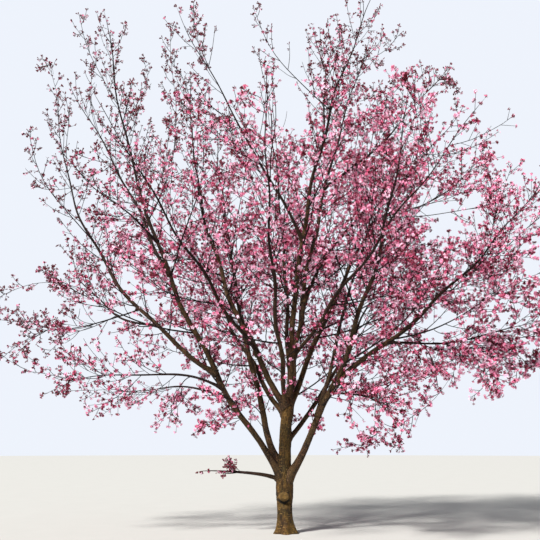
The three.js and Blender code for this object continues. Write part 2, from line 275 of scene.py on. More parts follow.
def lattice_noise(points: Array, seed: int) -> Array:
    """Smooth noise from -1 to 1: random values at whole coordinates, blended by smoothed shares.

    Args:
        points: Places, one row each.
        seed: Which of many noises it is.

    Returns:
        One value for each place.
    """
    cell = np.floor(points).astype(np.int64)
    share = points - cell
    share = share * share * (3 - 2 * share)
    total = np.zeros(points.shape[:-1])
    for corner in np.ndindex(2, 2, 2):
        x, y, z = np.moveaxis((cell + np.array(corner)) * CELL_FACTORS, -1, 0)
        mixed = (x ^ y ^ z ^ (seed * SEED_FACTOR)) & WORD
        mixed = (mixed * MIX_FACTORS[0]) & WORD
        mixed = ((mixed ^ (mixed >> 15)) * MIX_FACTORS[1]) & WORD
        value = ((mixed ^ (mixed >> 13)) & HALF_WORD) / (HALF_WORD / 2) - 1
        total += value * np.prod(np.where(corner, share, 1 - share), axis=-1)
    return total


def segment_distances(points: Array, starts: Array, ends: Array) -> Array:
    """Distances between points and straight segments.

    Args:
        points: One row each.
        starts: First ends of the segments.
        ends: Second ends.

    Returns:
        A row for each point, whose nearest places are at the clipped shares of its projections.
    """
    along = ends - starts
    squared = np.maximum((along * along).sum(-1), TINY)
    share = np.clip((points @ along.T - (starts * along).sum(-1)) / squared, 0, 1)
    nearest = starts + share[..., None] * along
    return np.linalg.norm(points[:, None] - nearest, axis=-1)


def course_distances(points: Array, corners: Array) -> Array:
    """Distances between points and the straight stretches between the corners of a course."""
    return segment_distances(points, corners[:-1], corners[1:])


def shadow(points: Array) -> Array:
    """Where the eye throws points on the upright plane through the trunk, along its rays."""
    rays = points - EYE
    return EYE - rays * (EYE[1] / np.maximum(rays[:, 1:2], NEAREST))


# Courses and lines


def step_and_rest(share: Array, steps: int) -> tuple[Array, Array]:
    """Where shares of a course lie in its steps.

    Args:
        share: Shares from 0 to 1.
        steps: Count of steps.

    Returns:
        The number of the step that holds each, and the share of that step.
    """
    place = np.clip(share, 0, 1) * steps
    step = np.minimum(np.floor(place).astype(int), steps - 1)
    return step, (place - step)[..., None]


def point_at(course: Array, share: Array) -> Array:
    """Places along a course of points, each straight between its two neighbours."""
    i, rest = step_and_rest(share, len(course) - 1)
    return blend(course[i], course[i + 1], rest)


def direction_at(course: Array, share: Array) -> Array:
    """Directions of a course, over half a step to each side."""
    step = 0.5 / (len(course) - 1)
    return normed(point_at(course, share + step) - point_at(course, share - step))


class Rows:
    """Arrays with one row for each of many things, as the fields of a dataclass."""

    def picked(self, keep: Array) -> Self:
        """The rows that a mask or a list of indices keeps."""
        return type(self)(*(rows[keep] for rows in vars(self).values()))

    @classmethod
    def joined(cls, lots: list[Self]) -> Self:
        """The rows of several lots, one lot after the other."""
        return cls(*(np.concatenate(rows) for rows in zip(*(vars(lot).values() for lot in lots))))


@dataclass
class Lines(Rows):
    """Twigs, shoots or branches with one row of points each, their radii at both ends and their limb."""

    points: Array
    foot: Array
    tip: Array
    limb: Array

    def lengths(self) -> Array:
        """The length of each line."""
        return np.linalg.norm(np.diff(self.points, axis=1), axis=-1).sum(axis=1)

    def at(self, line: Array, share: Array) -> Array:
        """Places at shares along lines."""
        i, rest = step_and_rest(share, self.points.shape[1] - 1)
        return blend(self.points[line, i], self.points[line, i + 1], rest)

    def towards(self, line: Array, share: Array) -> Array:
        """Directions at shares along lines."""
        step = 0.5 / (self.points.shape[1] - 1)
        return normed(self.at(line, share + step) - self.at(line, share - step))

    def radius(self, line: Array, share: Array) -> Array:
        """Radii at shares along lines."""
        return blend(self.foot[line], self.tip[line], share)

    def wood(self, sides: int, tip_reach: float = 3) -> "Surface":
        """Tubes whose radii fall evenly, each pole tip_reach radii past its end."""
        radii = blend(self.foot[:, None], self.tip[:, None], np.linspace(0, 1, self.points.shape[1]))
        return tubes(self.points, np.repeat(radii[..., None], sides, axis=2), tip_reach)


def bowed(roots: Array, ways: Array, lengths: Array, bow: Array, steps: int) -> Array:
    """Lines whose ends lie on straight chords and whose middles sag, so that they curve upward.

    Args:
        roots: First points.
        ways: Directions of the chords.
        lengths: Their lengths.
        bow: Sag of each as a share of its length.
        steps: Count of steps.

    Returns:
        Root plus chord times share, less four bows times share times the rest, away from the pull up.
    """
    share = np.linspace(0, 1, steps + 1)[None, :, None]
    chord = ways[:, None] * lengths[:, None, None]
    pull = normed(UP - ways * ways[:, 2:3] + NUDGE)[:, None]
    sag = 4 * share * (1 - share) * (bow * lengths)[:, None, None]
    return roots[:, None] + chord * share - pull * sag


def spaced(lengths: Array, spacing: Array, fewest: int) -> tuple[Array, Array]:
    """Numbers off evenly spaced places on lines.

    Args:
        lengths: Length of each line.
        spacing: Distance between places.
        fewest: Least count on a line.

    Returns:
        The line of each place, and its share of that line.
    """
    counts = np.maximum(fewest, np.round(lengths / spacing).astype(int))
    line = np.repeat(np.arange(len(lengths)), counts)
    first = np.repeat(np.cumsum(counts) - counts, counts)
    return line, (np.arange(len(line)) - first + 0.5) / counts[line]


# Meshes


def placed(name: str, data: bpy.types.ID) -> bpy.types.Object:
    """Adds an object with the given data to the scene, at the origin."""
    made = bpy.data.objects.new(name, data)
    bpy.context.scene.collection.objects.link(made)
    return made


@dataclass
class Surface:
    """A mesh as arrays.

    For bark, grain is each vertex's straightened place, and marks are its shares of a dark mark and of scar.
    The dark mark is painted shadow round the trunk's knob, and young bark on the limbs.
    """

    vertices: Array
    triangles: Array
    grain: Array | None = None
    marks: dict[str, Array] = field(default_factory=dict)

    def piece(self, name: str, slot: Slot, material: bpy.types.Material, stands_for: list[str]) -> None:
        """Makes a Blender object of the surface, which rides on the body.

        Args:
            name: Plain name.
            slot: The record's slot, which only decides whether the piece is shaded smooth.
            material: Its material.
            stands_for: The CAD nodes that it replaces.
        """
        mesh = bpy.data.meshes.new(name)
        count = len(self.triangles)
        mesh.vertices.add(len(self.vertices))
        mesh.vertices.foreach_set("co", self.vertices.astype(np.float32).ravel())
        mesh.loops.add(3 * count)
        mesh.loops.foreach_set("vertex_index", self.triangles.astype(np.int32).ravel())
        mesh.polygons.add(count)
        mesh.polygons.foreach_set("loop_start", np.arange(0, 3 * count, 3, dtype=np.int32))
        mesh.polygons.foreach_set("use_smooth", np.full(count, slot is not Slot.BLOSSOM))
        mesh.update(calc_edges=True)
        if self.grain is not None:
            layer = mesh.attributes.new("grain", "FLOAT_VECTOR", "POINT")
            layer.data.foreach_set("vector", self.grain.astype(np.float32).ravel())
        for mark, values in self.marks.items():
            layer = mesh.attributes.new(mark, "FLOAT", "POINT")
            layer.data.foreach_set("value", values.astype(np.float32).ravel())
        mesh.materials.append(material)
        made = placed(name, mesh)
        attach(made, "root")
        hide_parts(*stands_for)
        LOG.info("%s: %d triangles", name, count)


def copied(one: Array, count: int) -> Array:
    """The triangles of many copies of a small mesh, whose vertices follow copy after copy."""
    return (np.arange(count)[:, None, None] * (one.max() + 1) + one).reshape(-1, 3)


def tube_triangles(rings: int, sides: int) -> Array:
    """The triangles of a closed tube whose vertices are ring after ring, then the two poles.

    Args:
        rings: Count of rings.
        sides: Sides of each ring.

    Returns:
        Vertex numbers, outward by the right-hand rule.
    """
    ring, side = np.meshgrid(np.arange(rings - 1), np.arange(sides), indexing="ij")
    a = ring * sides + side
    b = ring * sides + (side + 1) % sides
    c, d = a + sides, b + sides
    walls = np.concatenate([np.stack([a, b, d], -1), np.stack([a, d, c], -1)]).reshape(-1, 3)
    s = np.arange(sides)
    t = (s + 1) % sides
    end = (rings - 1) * sides
    foot = np.stack([np.full(sides, end + sides), t, s], -1)
    tip = np.stack([np.full(sides, end + sides + 1), end + s, end + t], -1)
    return np.concatenate([walls, foot, tip])


def ring_frames(points: Array) -> tuple[Array, Array]:
    """Two unit vectors across each point of each line, square to the line and to each other.

    Args:
        points: One row of places for each line.

    Returns:
        One square to the chord, less its part along the local direction, and one square to both.
    """
    ahead = normed(np.gradient(points, axis=1))
    fixed = square_to(normed(points[:, -1] - points[:, 0]))[:, None]
    across = normed(fixed - ahead * (fixed * ahead).sum(-1, keepdims=True))
    return across, np.cross(ahead, across)


def tubes(points: Array, radii: Array, tip_reach: float, grain_step: float = 3.7) -> Surface:
    """Closed tubes along lines, each pole in line with its end.

    A vertex is its line's place plus its radius times the cosine and sine of its angle, across the
    line. Its grain is those two and the length along the line.

    Args:
        points: One row of places for each line.
        radii: Radius by line, place and side.
        tip_reach: How far the last pole stands past the last ring, in its radii.
        grain_step: How far the grain moves on from line to line.

    Returns:
        The surface.
    """
    count, rings, sides = radii.shape
    across, other = ring_frames(points)
    cos, sin = (radii * f(turns(sides)) for f in (np.cos, np.sin))
    walls = points[:, :, None] + cos[..., None] * across[:, :, None] + sin[..., None] * other[:, :, None]
    steps = np.linalg.norm(np.diff(points, axis=1), axis=-1)
    along = np.concatenate([np.zeros((count, 1)), np.cumsum(steps, axis=1)], axis=1)
    along = along + grain_step * np.arange(count)[:, None]
    grain = np.stack([cos, sin, np.broadcast_to(along[:, :, None], cos.shape)], -1)
    end = points[:, -1] + normed(points[:, -1] - points[:, -2]) * radii[:, -1, :1] * tip_reach
    poles = np.stack([points[:, 0], end], axis=1)
    pole_grain = np.zeros((count, 2, 3))
    pole_grain[:, :, 2] = along[:, [0, -1]]
    vertices = np.concatenate([walls.reshape(count, -1, 3), poles], axis=1)
    grains = np.concatenate([grain.reshape(count, -1, 3), pole_grain], axis=1)
    triangles = copied(tube_triangles(rings, sides), count)
    return Surface(vertices.reshape(-1, 3), triangles, grains.reshape(-1, 3))


# Trunk


@dataclass(frozen=True)
class Relief:
    """Bark that stands out as stretched noise, by its depth and its scales round and along the wood."""

    depth: float
    round: float
    along: float
    seed: int

    def noise(self, place: Array) -> Array:
        """The noise from -1 to 1 on the stretched place."""
        return lattice_noise(place * [self.round, self.round, self.along], self.seed)

    def at(self, place: Array) -> Array:
        """The depth times the noise."""
        return self.depth * self.noise(place)


@dataclass(frozen=True)
class Knob:
    """The round collar of a pruned branch on the trunk's front, and the hollow under it.

    A reach is a distance from the middle of the collar over its radius.
    """

    height: float = 0.6
    aside: float = 0.012
    radius: float = 0.09
    depth: float = 0.075
    dimple: float = 0.25
    dimple_reach: float = 0.38
    pit_drop: float = 0.105
    pit_aside: float = -0.012
    pit_narrowing: float = 0.7
    pit_radius: float = 0.058
    pit_depth: float = 0.055
    # Painted shadow: a dark crescent under the collar between these reaches, and a dark ring in the crease
    # at its rim
    crescent_start: Pair = (0.88, 1)
    crescent_end: Pair = (1.3, 1.6)
    crescent_below: Pair = (0.1, 0.7)
    least_reach: float = 0.1
    rim_shade: float = 0.6
    rim_width: float = 0.09
    scar_edge: Pair = (0.7, 0.9)

    def reach(self, height: Array, aside: Array) -> Array:
        """Distances from the middle of the collar, over its radius."""
        return np.hypot(aside - self.aside, height - self.height) / self.radius

    def relief(self, height: Array, aside: Array) -> Array:
        """How far the bark stands out, in metres.

        Args:
            height: Heights of the vertices.
            aside: Their distances to the side.

        Returns:
            A dome that falls by the fourth power of the reach, less bell curves for dimple and hollow.
        """
        reach = self.reach(height, aside)
        dome = np.clip(1 - reach**4, 0, None) - self.dimple * bell(reach / self.dimple_reach)
        drop = height - self.height + self.pit_drop
        pit = bell(np.hypot((aside - self.pit_aside) * self.pit_narrowing, drop) / self.pit_radius)
        return self.depth * dome - self.pit_depth * pit

    def marks(self, height: Array, aside: Array) -> dict[str, Array]:
        """The bark's dark mark and scar: painted shadow in a crescent under the collar and in the crease at
        its rim, the bare scar inside.

        Args:
            height: Heights of the vertices.
            aside: Their distances to the side.

        Returns:
            Products of smooth steps of the reach and of how far below the middle a vertex lies.
        """
        reach = self.reach(height, aside)
        below = (self.height - height) / (self.radius * np.maximum(reach, self.least_reach))
        # Painted shadow under the collar and in the crease at its rim makes up the dark mark
        crescent = smooth_step(reach, *self.crescent_start) * (1 - smooth_step(reach, *self.crescent_end))
        crescent = crescent * smooth_step(below, *self.crescent_below)
        rim = self.rim_shade * bell((reach - 1) / self.rim_width)
        return {"shade": np.maximum(crescent, rim), "scar": 1 - smooth_step(reach, *self.scar_edge)}


@dataclass(frozen=True)
class Trunk:
    """The trunk: its course, its radii and the bark in relief."""

    height: float = 2.15
    lean: float = 0.035
    bow: float = 0.032
    radii: Pair = (0.12, 0.09)
    dome_start: float = 0.97
    dome_loss: float = 0.38
    flare: float = 0.078
    flare_fade: float = 0.12
    flare_lobes: int = 5
    lobe_depth: float = 0.16
    swell: float = 0.034
    swell_height: float = 0.76
    swell_spread: float = 0.3
    knob: Knob = Knob()
    lumps: Relief = Relief(0.007, 9, 5, 11)
    ridges: Relief = Relief(0.006, 26, 6, 12)
    bands: Relief = Relief(0.003, 13, 50, 13)
    band_peaks: Pair = (0.25, 0.7)
    pores: Relief = Relief(0.002, 80, 40, 14)
    smooth_foot: float = 0.02
    far_aside: float = 1.0
    sides: int = 96
    ring_step: float = 0.012
    fine_step: float = 0.006
    fine_zone: Pair = (0.45, 0.74)
    steps: int = 24

    def course(self) -> Array:
        """The middle line: a square-law lean less one half wave of bow."""
        share = np.arange(self.steps + 1) / self.steps
        x = self.lean * share**2 - self.bow * np.sin(np.pi * share)
        return np.stack([x, np.zeros_like(x), self.height * share], -1)

    def radius(self, height: Array) -> Array:
        """The radius: an even taper, plus the flare and the swelling, and less in the dome.

        Args:
            height: Heights on the trunk.

        Returns:
            One radius for each. The flare falls by a power of e, the swelling is a bell curve.
        """
        share = height / self.height
        plain = blend(*self.radii, share)
        flare = self.flare * np.exp(-height / self.flare_fade)
        swell = self.swell * bell((height - self.swell_height) / self.swell_spread)
        dome = self.dome_loss * smooth_step(share, self.dome_start, 1)
        return (plain + flare + swell) * (1 - dome)

    def relief(self, place: Array, height: Array, aside: Array) -> Array:
        """How far the bark stands out, in metres: lumps, upright ridges, level bands, pores and the knob.

        Args:
            place: Straightened places of the vertices.
            height: Their heights.
            aside: Their distances to the side round the front.

        Returns:
            Their sum. Ridges stand where their noise is near nothing, bands where theirs peaks.
        """
        ridges = self.ridges.depth * (0.5 - np.abs(self.ridges.noise(place)))
        bands = self.bands.depth * smooth_step(self.bands.noise(place), *self.band_peaks)
        return self.lumps.at(place) + ridges + bands + self.pores.at(place) + self.knob.relief(height, aside)

    def ring_heights(self) -> Array:
        """The heights of the rings, closer together round the knob."""
        low, high = self.fine_zone
        coarse = np.arange(0, self.height, self.ring_step)
        coarse = coarse[(coarse < low) | (coarse > high)]
        heights = np.sort(np.concatenate([coarse, np.arange(low, high, self.fine_step)]))
        return np.append(heights, self.height)

    def surface(self) -> Surface:
        """The bark as a grid of angles and heights, closed at the foot and the fork.

        The radius is the plain one times one plus lobes that fade by a power of e, plus the relief.
        Angle 0 looks to the front, and a quarter turn to the left.
        """
        heights = self.ring_heights()
        centres = point_at(self.course(), heights / self.height)
        level, turn = np.meshgrid(heights, turns(self.sides), indexing="ij")
        lobes = self.lobe_depth * np.exp(-level / (2 * self.flare_fade))
        plain = self.radius(level) * (1 + lobes * np.cos(self.flare_lobes * turn))
        place = np.stack([plain * np.cos(turn), plain * np.sin(turn), level], -1)
        aside = np.where(np.cos(turn) > 0, plain * np.sin(turn), self.far_aside)
        radius = plain + self.relief(place, level, aside) * smooth_step(level, 0, self.smooth_foot)
        x = centres[:, None, 0] - radius * np.sin(turn)
        y = centres[:, None, 1] - radius * np.cos(turn)
        walls = np.stack([x, y, level], -1)
        poles = np.stack([centres[0], centres[-1]])
        # The knob gives the dark mark, which is painted shadow under and round the collar, and the pale scar
        marks = {name: np.append(values.ravel(), [0, 0])
                 for name, values in self.knob.marks(level, aside).items()}
        grain, vertices = (np.concatenate([grid.reshape(-1, 3), poles]) for grid in (place, walls))
        return Surface(vertices, tube_triangles(len(heights), self.sides)[:, ::-1], grain, marks)


# Limbs


@dataclass
class Limbs:
    """The limbs: their courses by the solids' rule, their radii, and the bark in relief."""

    trunk: Trunk
    steps: int = 24
    sway: float = 0.11
    sway_length: float = 1.5
    sway_slower: float = 0.8
    taper_power: float = 0.55
    foot_collar: float = 0.28
    collar_fade: float = 0.13
    tip_radius: float = 0.006
    tip_rounding: Triple = (0.85, 0.65, 0.45)
    tip_reach: float = 1.5
    whip: float = 0.42
    young_bark: Pair = (0.046, 0.02)
    lumps: Relief = Relief(0.09, 22, 7, 21)
    bands: Relief = Relief(0.05, 26, 46, 22)
    noise_step: float = 5.3
    easings: int = 3
    rings: int = 84
    sides: int = 10
    ring_crowding: float = 1.35
    fillet: float = 0.6
    fillet_rings: int = 17
    fillet_fade: Pair = (0.045, 0.5)
    courses: list[Array] = field(default_factory=list)

    def __post_init__(self) -> None:
        """Works out every course, each limb's from its parent's."""
        known = {"trunk": self.trunk.course()}
        for number, plan in enumerate(PLANS):
            start = point_at(known[plan.parent], np.array(plan.along))
            known[plan.name] = self.course(plan, number, start)
            self.courses.append(known[plan.name])

    def course(self, plan: LimbPlan, number: int, start: Array) -> Array:
        """A limb's middle line, whose direction turns and lifts evenly and wanders in two slow waves.

        Args:
            plan: The limb.
            number: Its place in the list.
            start: Where it leaves its parent.

        Returns:
            The start and the running sum of the steps.
        """
        share = (np.arange(self.steps) + 0.5) / self.steps
        azimuth = plan.azimuth + plan.turn * share
        ahead = unit(azimuth, plan.rise + plan.lift * share)
        side = unit(azimuth + 90, 0)
        over = np.cross(ahead, side)
        waves = plan.length / self.sway_length * share
        first, second = (chance(number, wave, Draw.LIMB_SWAY) for wave in (1, 2))
        level = self.sway * np.sin(2 * np.pi * (waves + first))
        rising = self.sway * np.sin(2 * np.pi * (self.sway_slower * waves + second))
        ahead = normed(ahead + side * level[:, None] + over * rising[:, None])
        path = np.cumsum(ahead, axis=0) * plan.length / self.steps
        return start + np.concatenate([np.zeros((1, 3)), path])

    def radius(self, plan: LimbPlan, share: Array) -> Array:
        """A limb's radius: the tip's plus a falling power of the share, fatter by its foot."""
        plain = self.tip_radius + (plan.foot - self.tip_radius) * (1 - share) ** self.taper_power
        return plain * (1 + self.foot_collar * np.exp(-share * plan.length / self.collar_fade))

    def slender(self, plan: LimbPlan, share: Array) -> Array:
        """The radius of the bark, which thins to a whip from halfway along the bough."""
        return self.radius(plan, share) * blend(1, self.whip, smooth_step(share, plan.bare / 2, 1))

    def stretches(self, number: int, start: float, end: float) -> tuple[Array, Array]:
        """A limb's course between two shares as straight segments.

        Args:
            number: The limb.
            start: First share.
            end: Last share.

        Returns:
            The points between the segments, and each segment's radius.
        """
        count = max(1, math.ceil((end - start) * self.steps))
        shares = blend(start, end, np.arange(count + 1) / count)
        return point_at(self.courses[number], shares), self.radius(PLANS[number], shares[:-1])

    def eased(self, shares: Array) -> Array:
        """Every limb's course with its corners rounded by averaging with both neighbours.

        Args:
            shares: Where its points lie.

        Returns:
            One row of places for each limb.
        """
        points = np.stack([point_at(course, shares) for course in self.courses])
        for _ in range(self.easings):
            middle = (points[:, :-2] + 2 * points[:, 1:-1] + points[:, 2:]) / 4
            points = np.concatenate([points[:, :1], middle, points[:, -1:]], axis=1)
        return points

    def parent_gap(self, number: int, points: Array) -> Array:
        """How far points lie outside the bark of a limb's parent.

        Args:
            number: The limb.
            points: Places.

        Returns:
            The distances from the parent's course less its radius.
        """
        plan = PLANS[number]
        if plan.parent == "trunk":
            heights = np.minimum(points[:, 2], self.trunk.height)
            centre = point_at(self.trunk.course(), heights / self.trunk.height)
            gap = np.linalg.norm((points - centre)[:, :2], axis=-1) - self.trunk.radius(heights)
            above = points[:, 2] - self.trunk.height
            return np.where(above > 0, np.hypot(np.maximum(gap, 0), above), gap)
        corners, radii = self.stretches(NUMBERS[plan.parent], 0, 1)
        return (course_distances(points, corners) - radii).min(axis=1)

    def surface(self) -> Surface:
        """The bark of all limbs, with a fillet where each leaves its parent.

        A radius is the rule's, times one plus lumps and bands of noise, times one plus the fillet,
        which fades by a power of e with the distance from the parent's bark.
        """
        shares = (np.arange(self.rings) / (self.rings - 1)) ** self.ring_crowding
        points = self.eased(shares)
        angle = turns(self.sides)
        plain = np.stack([self.slender(plan, shares) for plan in PLANS])
        plain[:, -len(self.tip_rounding):] *= self.tip_rounding
        young = smooth_step(-plain, -self.young_bark[0], -self.young_bark[1])
        lengths = np.array([plan.length for plan in PLANS])
        along = lengths[:, None] * shares + self.noise_step * np.arange(len(lengths))[:, None]
        place = np.stack(np.broadcast_arrays(
            plain[..., None] * np.cos(angle), plain[..., None] * np.sin(angle), along[..., None]), -1)
        radii = plain[..., None] * (1 + self.lumps.at(place) + self.bands.at(place))
        across, other = ring_frames(points)
        near = self.fillet_rings
        for number, plan in enumerate(PLANS):
            spread = around(angle, across[number, :near, None], other[number, :near, None])
            bark = points[number, :near, None] + radii[number, :near, :, None] * spread
            gap = self.parent_gap(number, bark.reshape(-1, 3)).reshape(near, self.sides)
            fade = ranged(self.fillet_fade, plan.foot)
            radii[number, :near] *= 1 + self.fillet * np.exp(-np.maximum(gap, 0) / fade)
        made = tubes(points, radii, self.tip_reach)
        # On the limbs the dark mark is young bark, darker where they are thin, and holds no painted shadow
        ends = np.stack([young[:, 0], young[:, -1]], axis=1)
        made.marks["shade"] = np.concatenate([np.repeat(young, self.sides, axis=1), ends], axis=1).ravel()
        return made


# The crown's fullness


@dataclass(frozen=True)
class Window:
    """A gap or a thin patch in the crown as the viewer sees it, on the upright plane through the trunk.

    wide and high are its half sizes, and missing is the share of the growth that it lacks.
    """

    x: float
    z: float
    wide: float
    high: float
    missing: float


@dataclass(frozen=True)
class Crown:
    """How full of blossom the crown is from place to place."""

    full_height: float = 6.95
    height_slope: float = 0.42
    height_fade: float = 2.4
    low_fade: Pair = (1.0, 1.9)
    axis: Pair = (1.6, 0.0)
    radii: Pair = (3.3, 6.2)
    low_spread: float = 0.5
    low_spread_heights: Pair = (6.2, 3.6)
    window_edge: Pair = (0.8, 1.15)
    lowest: Triple = (-5.3, -4.85, 0.12)
    highest: Triple = (5.36, 4.22, 10.05)
    windows: tuple[Window, ...] = tuple(Window(*row) for row in (
        (1.12, 4.5, 0.18, 0.22, 1), (1.42, 3.7, 0.18, 0.34, 1), (2.9, 5.85, 0.38, 0.26, 1),
        (2.8, 3.6, 0.27, 0.22, 1), (-1.15, 8.9, 0.36, 1.05, 0.8), (0.15, 9.2, 0.3, 0.9, 0.8),
        (4.45, 7.8, 0.65, 0.75, 0.8), (-3.7, 8.2, 0.3, 0.4, 0.7), (-3.85, 7.4, 0.3, 0.5, 0.7),
        (-0.45, 8.4, 0.35, 0.35, 0.6), (0.08, 7.95, 0.65, 0.6, 0.65), (2.7, 7.5, 0.7, 0.8, 0.3),
        (-3.2, 7.2, 0.8, 0.6, 0.2), (3.2, 6.8, 0.6, 0.4, 0.2), (-1.9, 6.8, 0.8, 0.4, 0.25),
        (0.4, 6.5, 0.4, 0.6, 0.18), (-0.3, 6.2, 0.4, 0.5, 0.25), (-3.4, 6.2, 1.0, 0.5, 0.15),
        (-0.9, 6.0, 0.4, 0.5, 0.2), (3.3, 5.7, 0.5, 0.5, 0.3), (-2.2, 5.7, 0.45, 0.5, 0.3),
        (1.0, 5.4, 0.4, 0.5, 0.3),
        (0.4, 3.9, 0.35, 0.35, 0.28), (-2.9, 3.9, 0.7, 0.4, 0.3), (4.2, 3.5, 0.7, 0.7, 0.1),
        (-3.5, 3.5, 0.5, 0.5, 0.6), (-0.6, 3.4, 0.7, 0.5, 0.15), (-2.6, 3.3, 0.5, 0.4, 0.2),
        (-1.8, 3.3, 0.5, 0.4, 0.25), (-2.6, 2.6, 1.0, 0.35, 0.45), (-0.9, 2.6, 0.35, 0.35, 0.25),
        (1.4, 1.9, 0.4, 0.3, 0.25), (1.0, 1.9, 0.35, 0.3, 0.45), (3.1, 1.85, 0.9, 0.25, 0.3),
    ))

    def fullness(self, points: Array) -> Array:
        """1 in the full middle of the crown and 0 among the open whips at its top and far sides.

        Args:
            points: Places.

        Returns:
            A falling step of the height over a line like a roof, times a rising one by the ground, times
            a falling one of the distance from the axis, which reaches further lower down.
        """
        line = self.full_height - self.height_slope * np.abs(points[:, 0] - self.axis[0])
        lower = 1 - smooth_step(points[:, 2] - line, 0, self.height_fade)
        lower = lower * smooth_step(points[:, 2], *self.low_fade)
        away = np.hypot(points[:, 0] - self.axis[0], points[:, 1] - self.axis[1])
        high, low = self.low_spread_heights
        away -= self.low_spread * smooth_step(high - points[:, 2], 0, high - low)
        return lower * (1 - smooth_step(away, *self.radii))

    def inside(self, points: Array) -> Array:
        """Whether points lie in the box that twigs, shoots and flowers keep to."""
        return ((points > self.lowest) & (points < self.highest)).all(axis=-1)

    def missing(self, points: Array) -> Array:
        """The share of the growth that places lack.

        Args:
            points: Places.

        Returns:
            The greatest share of the windows that hold their shadow, less by a smooth step at the edge.
        """
        thrown = shadow(points)
        share = np.zeros(len(points))
        for gap in self.windows:
            reach = np.hypot((thrown[:, 0] - gap.x) / gap.wide, (thrown[:, 2] - gap.z) / gap.high)
            share = np.maximum(share, gap.missing * (1 - smooth_step(reach, *self.window_edge)))
        return share


# Branches, twigs and shoots


@dataclass(frozen=True)
class Thicket:
    """A part of the crown that arching branches fill.

    half holds its half sizes, and room is how far a branch may end outside the limbs' shape.
    """

    middle: Triple
    half: Triple
    branches: int
    room: float = 0.35


@dataclass
class Perches(Rows):
    """Places on limbs and branches that a new branch may leave from, one row each."""

    place: Array
    ahead: Array
    limb: Array
    radius: Array


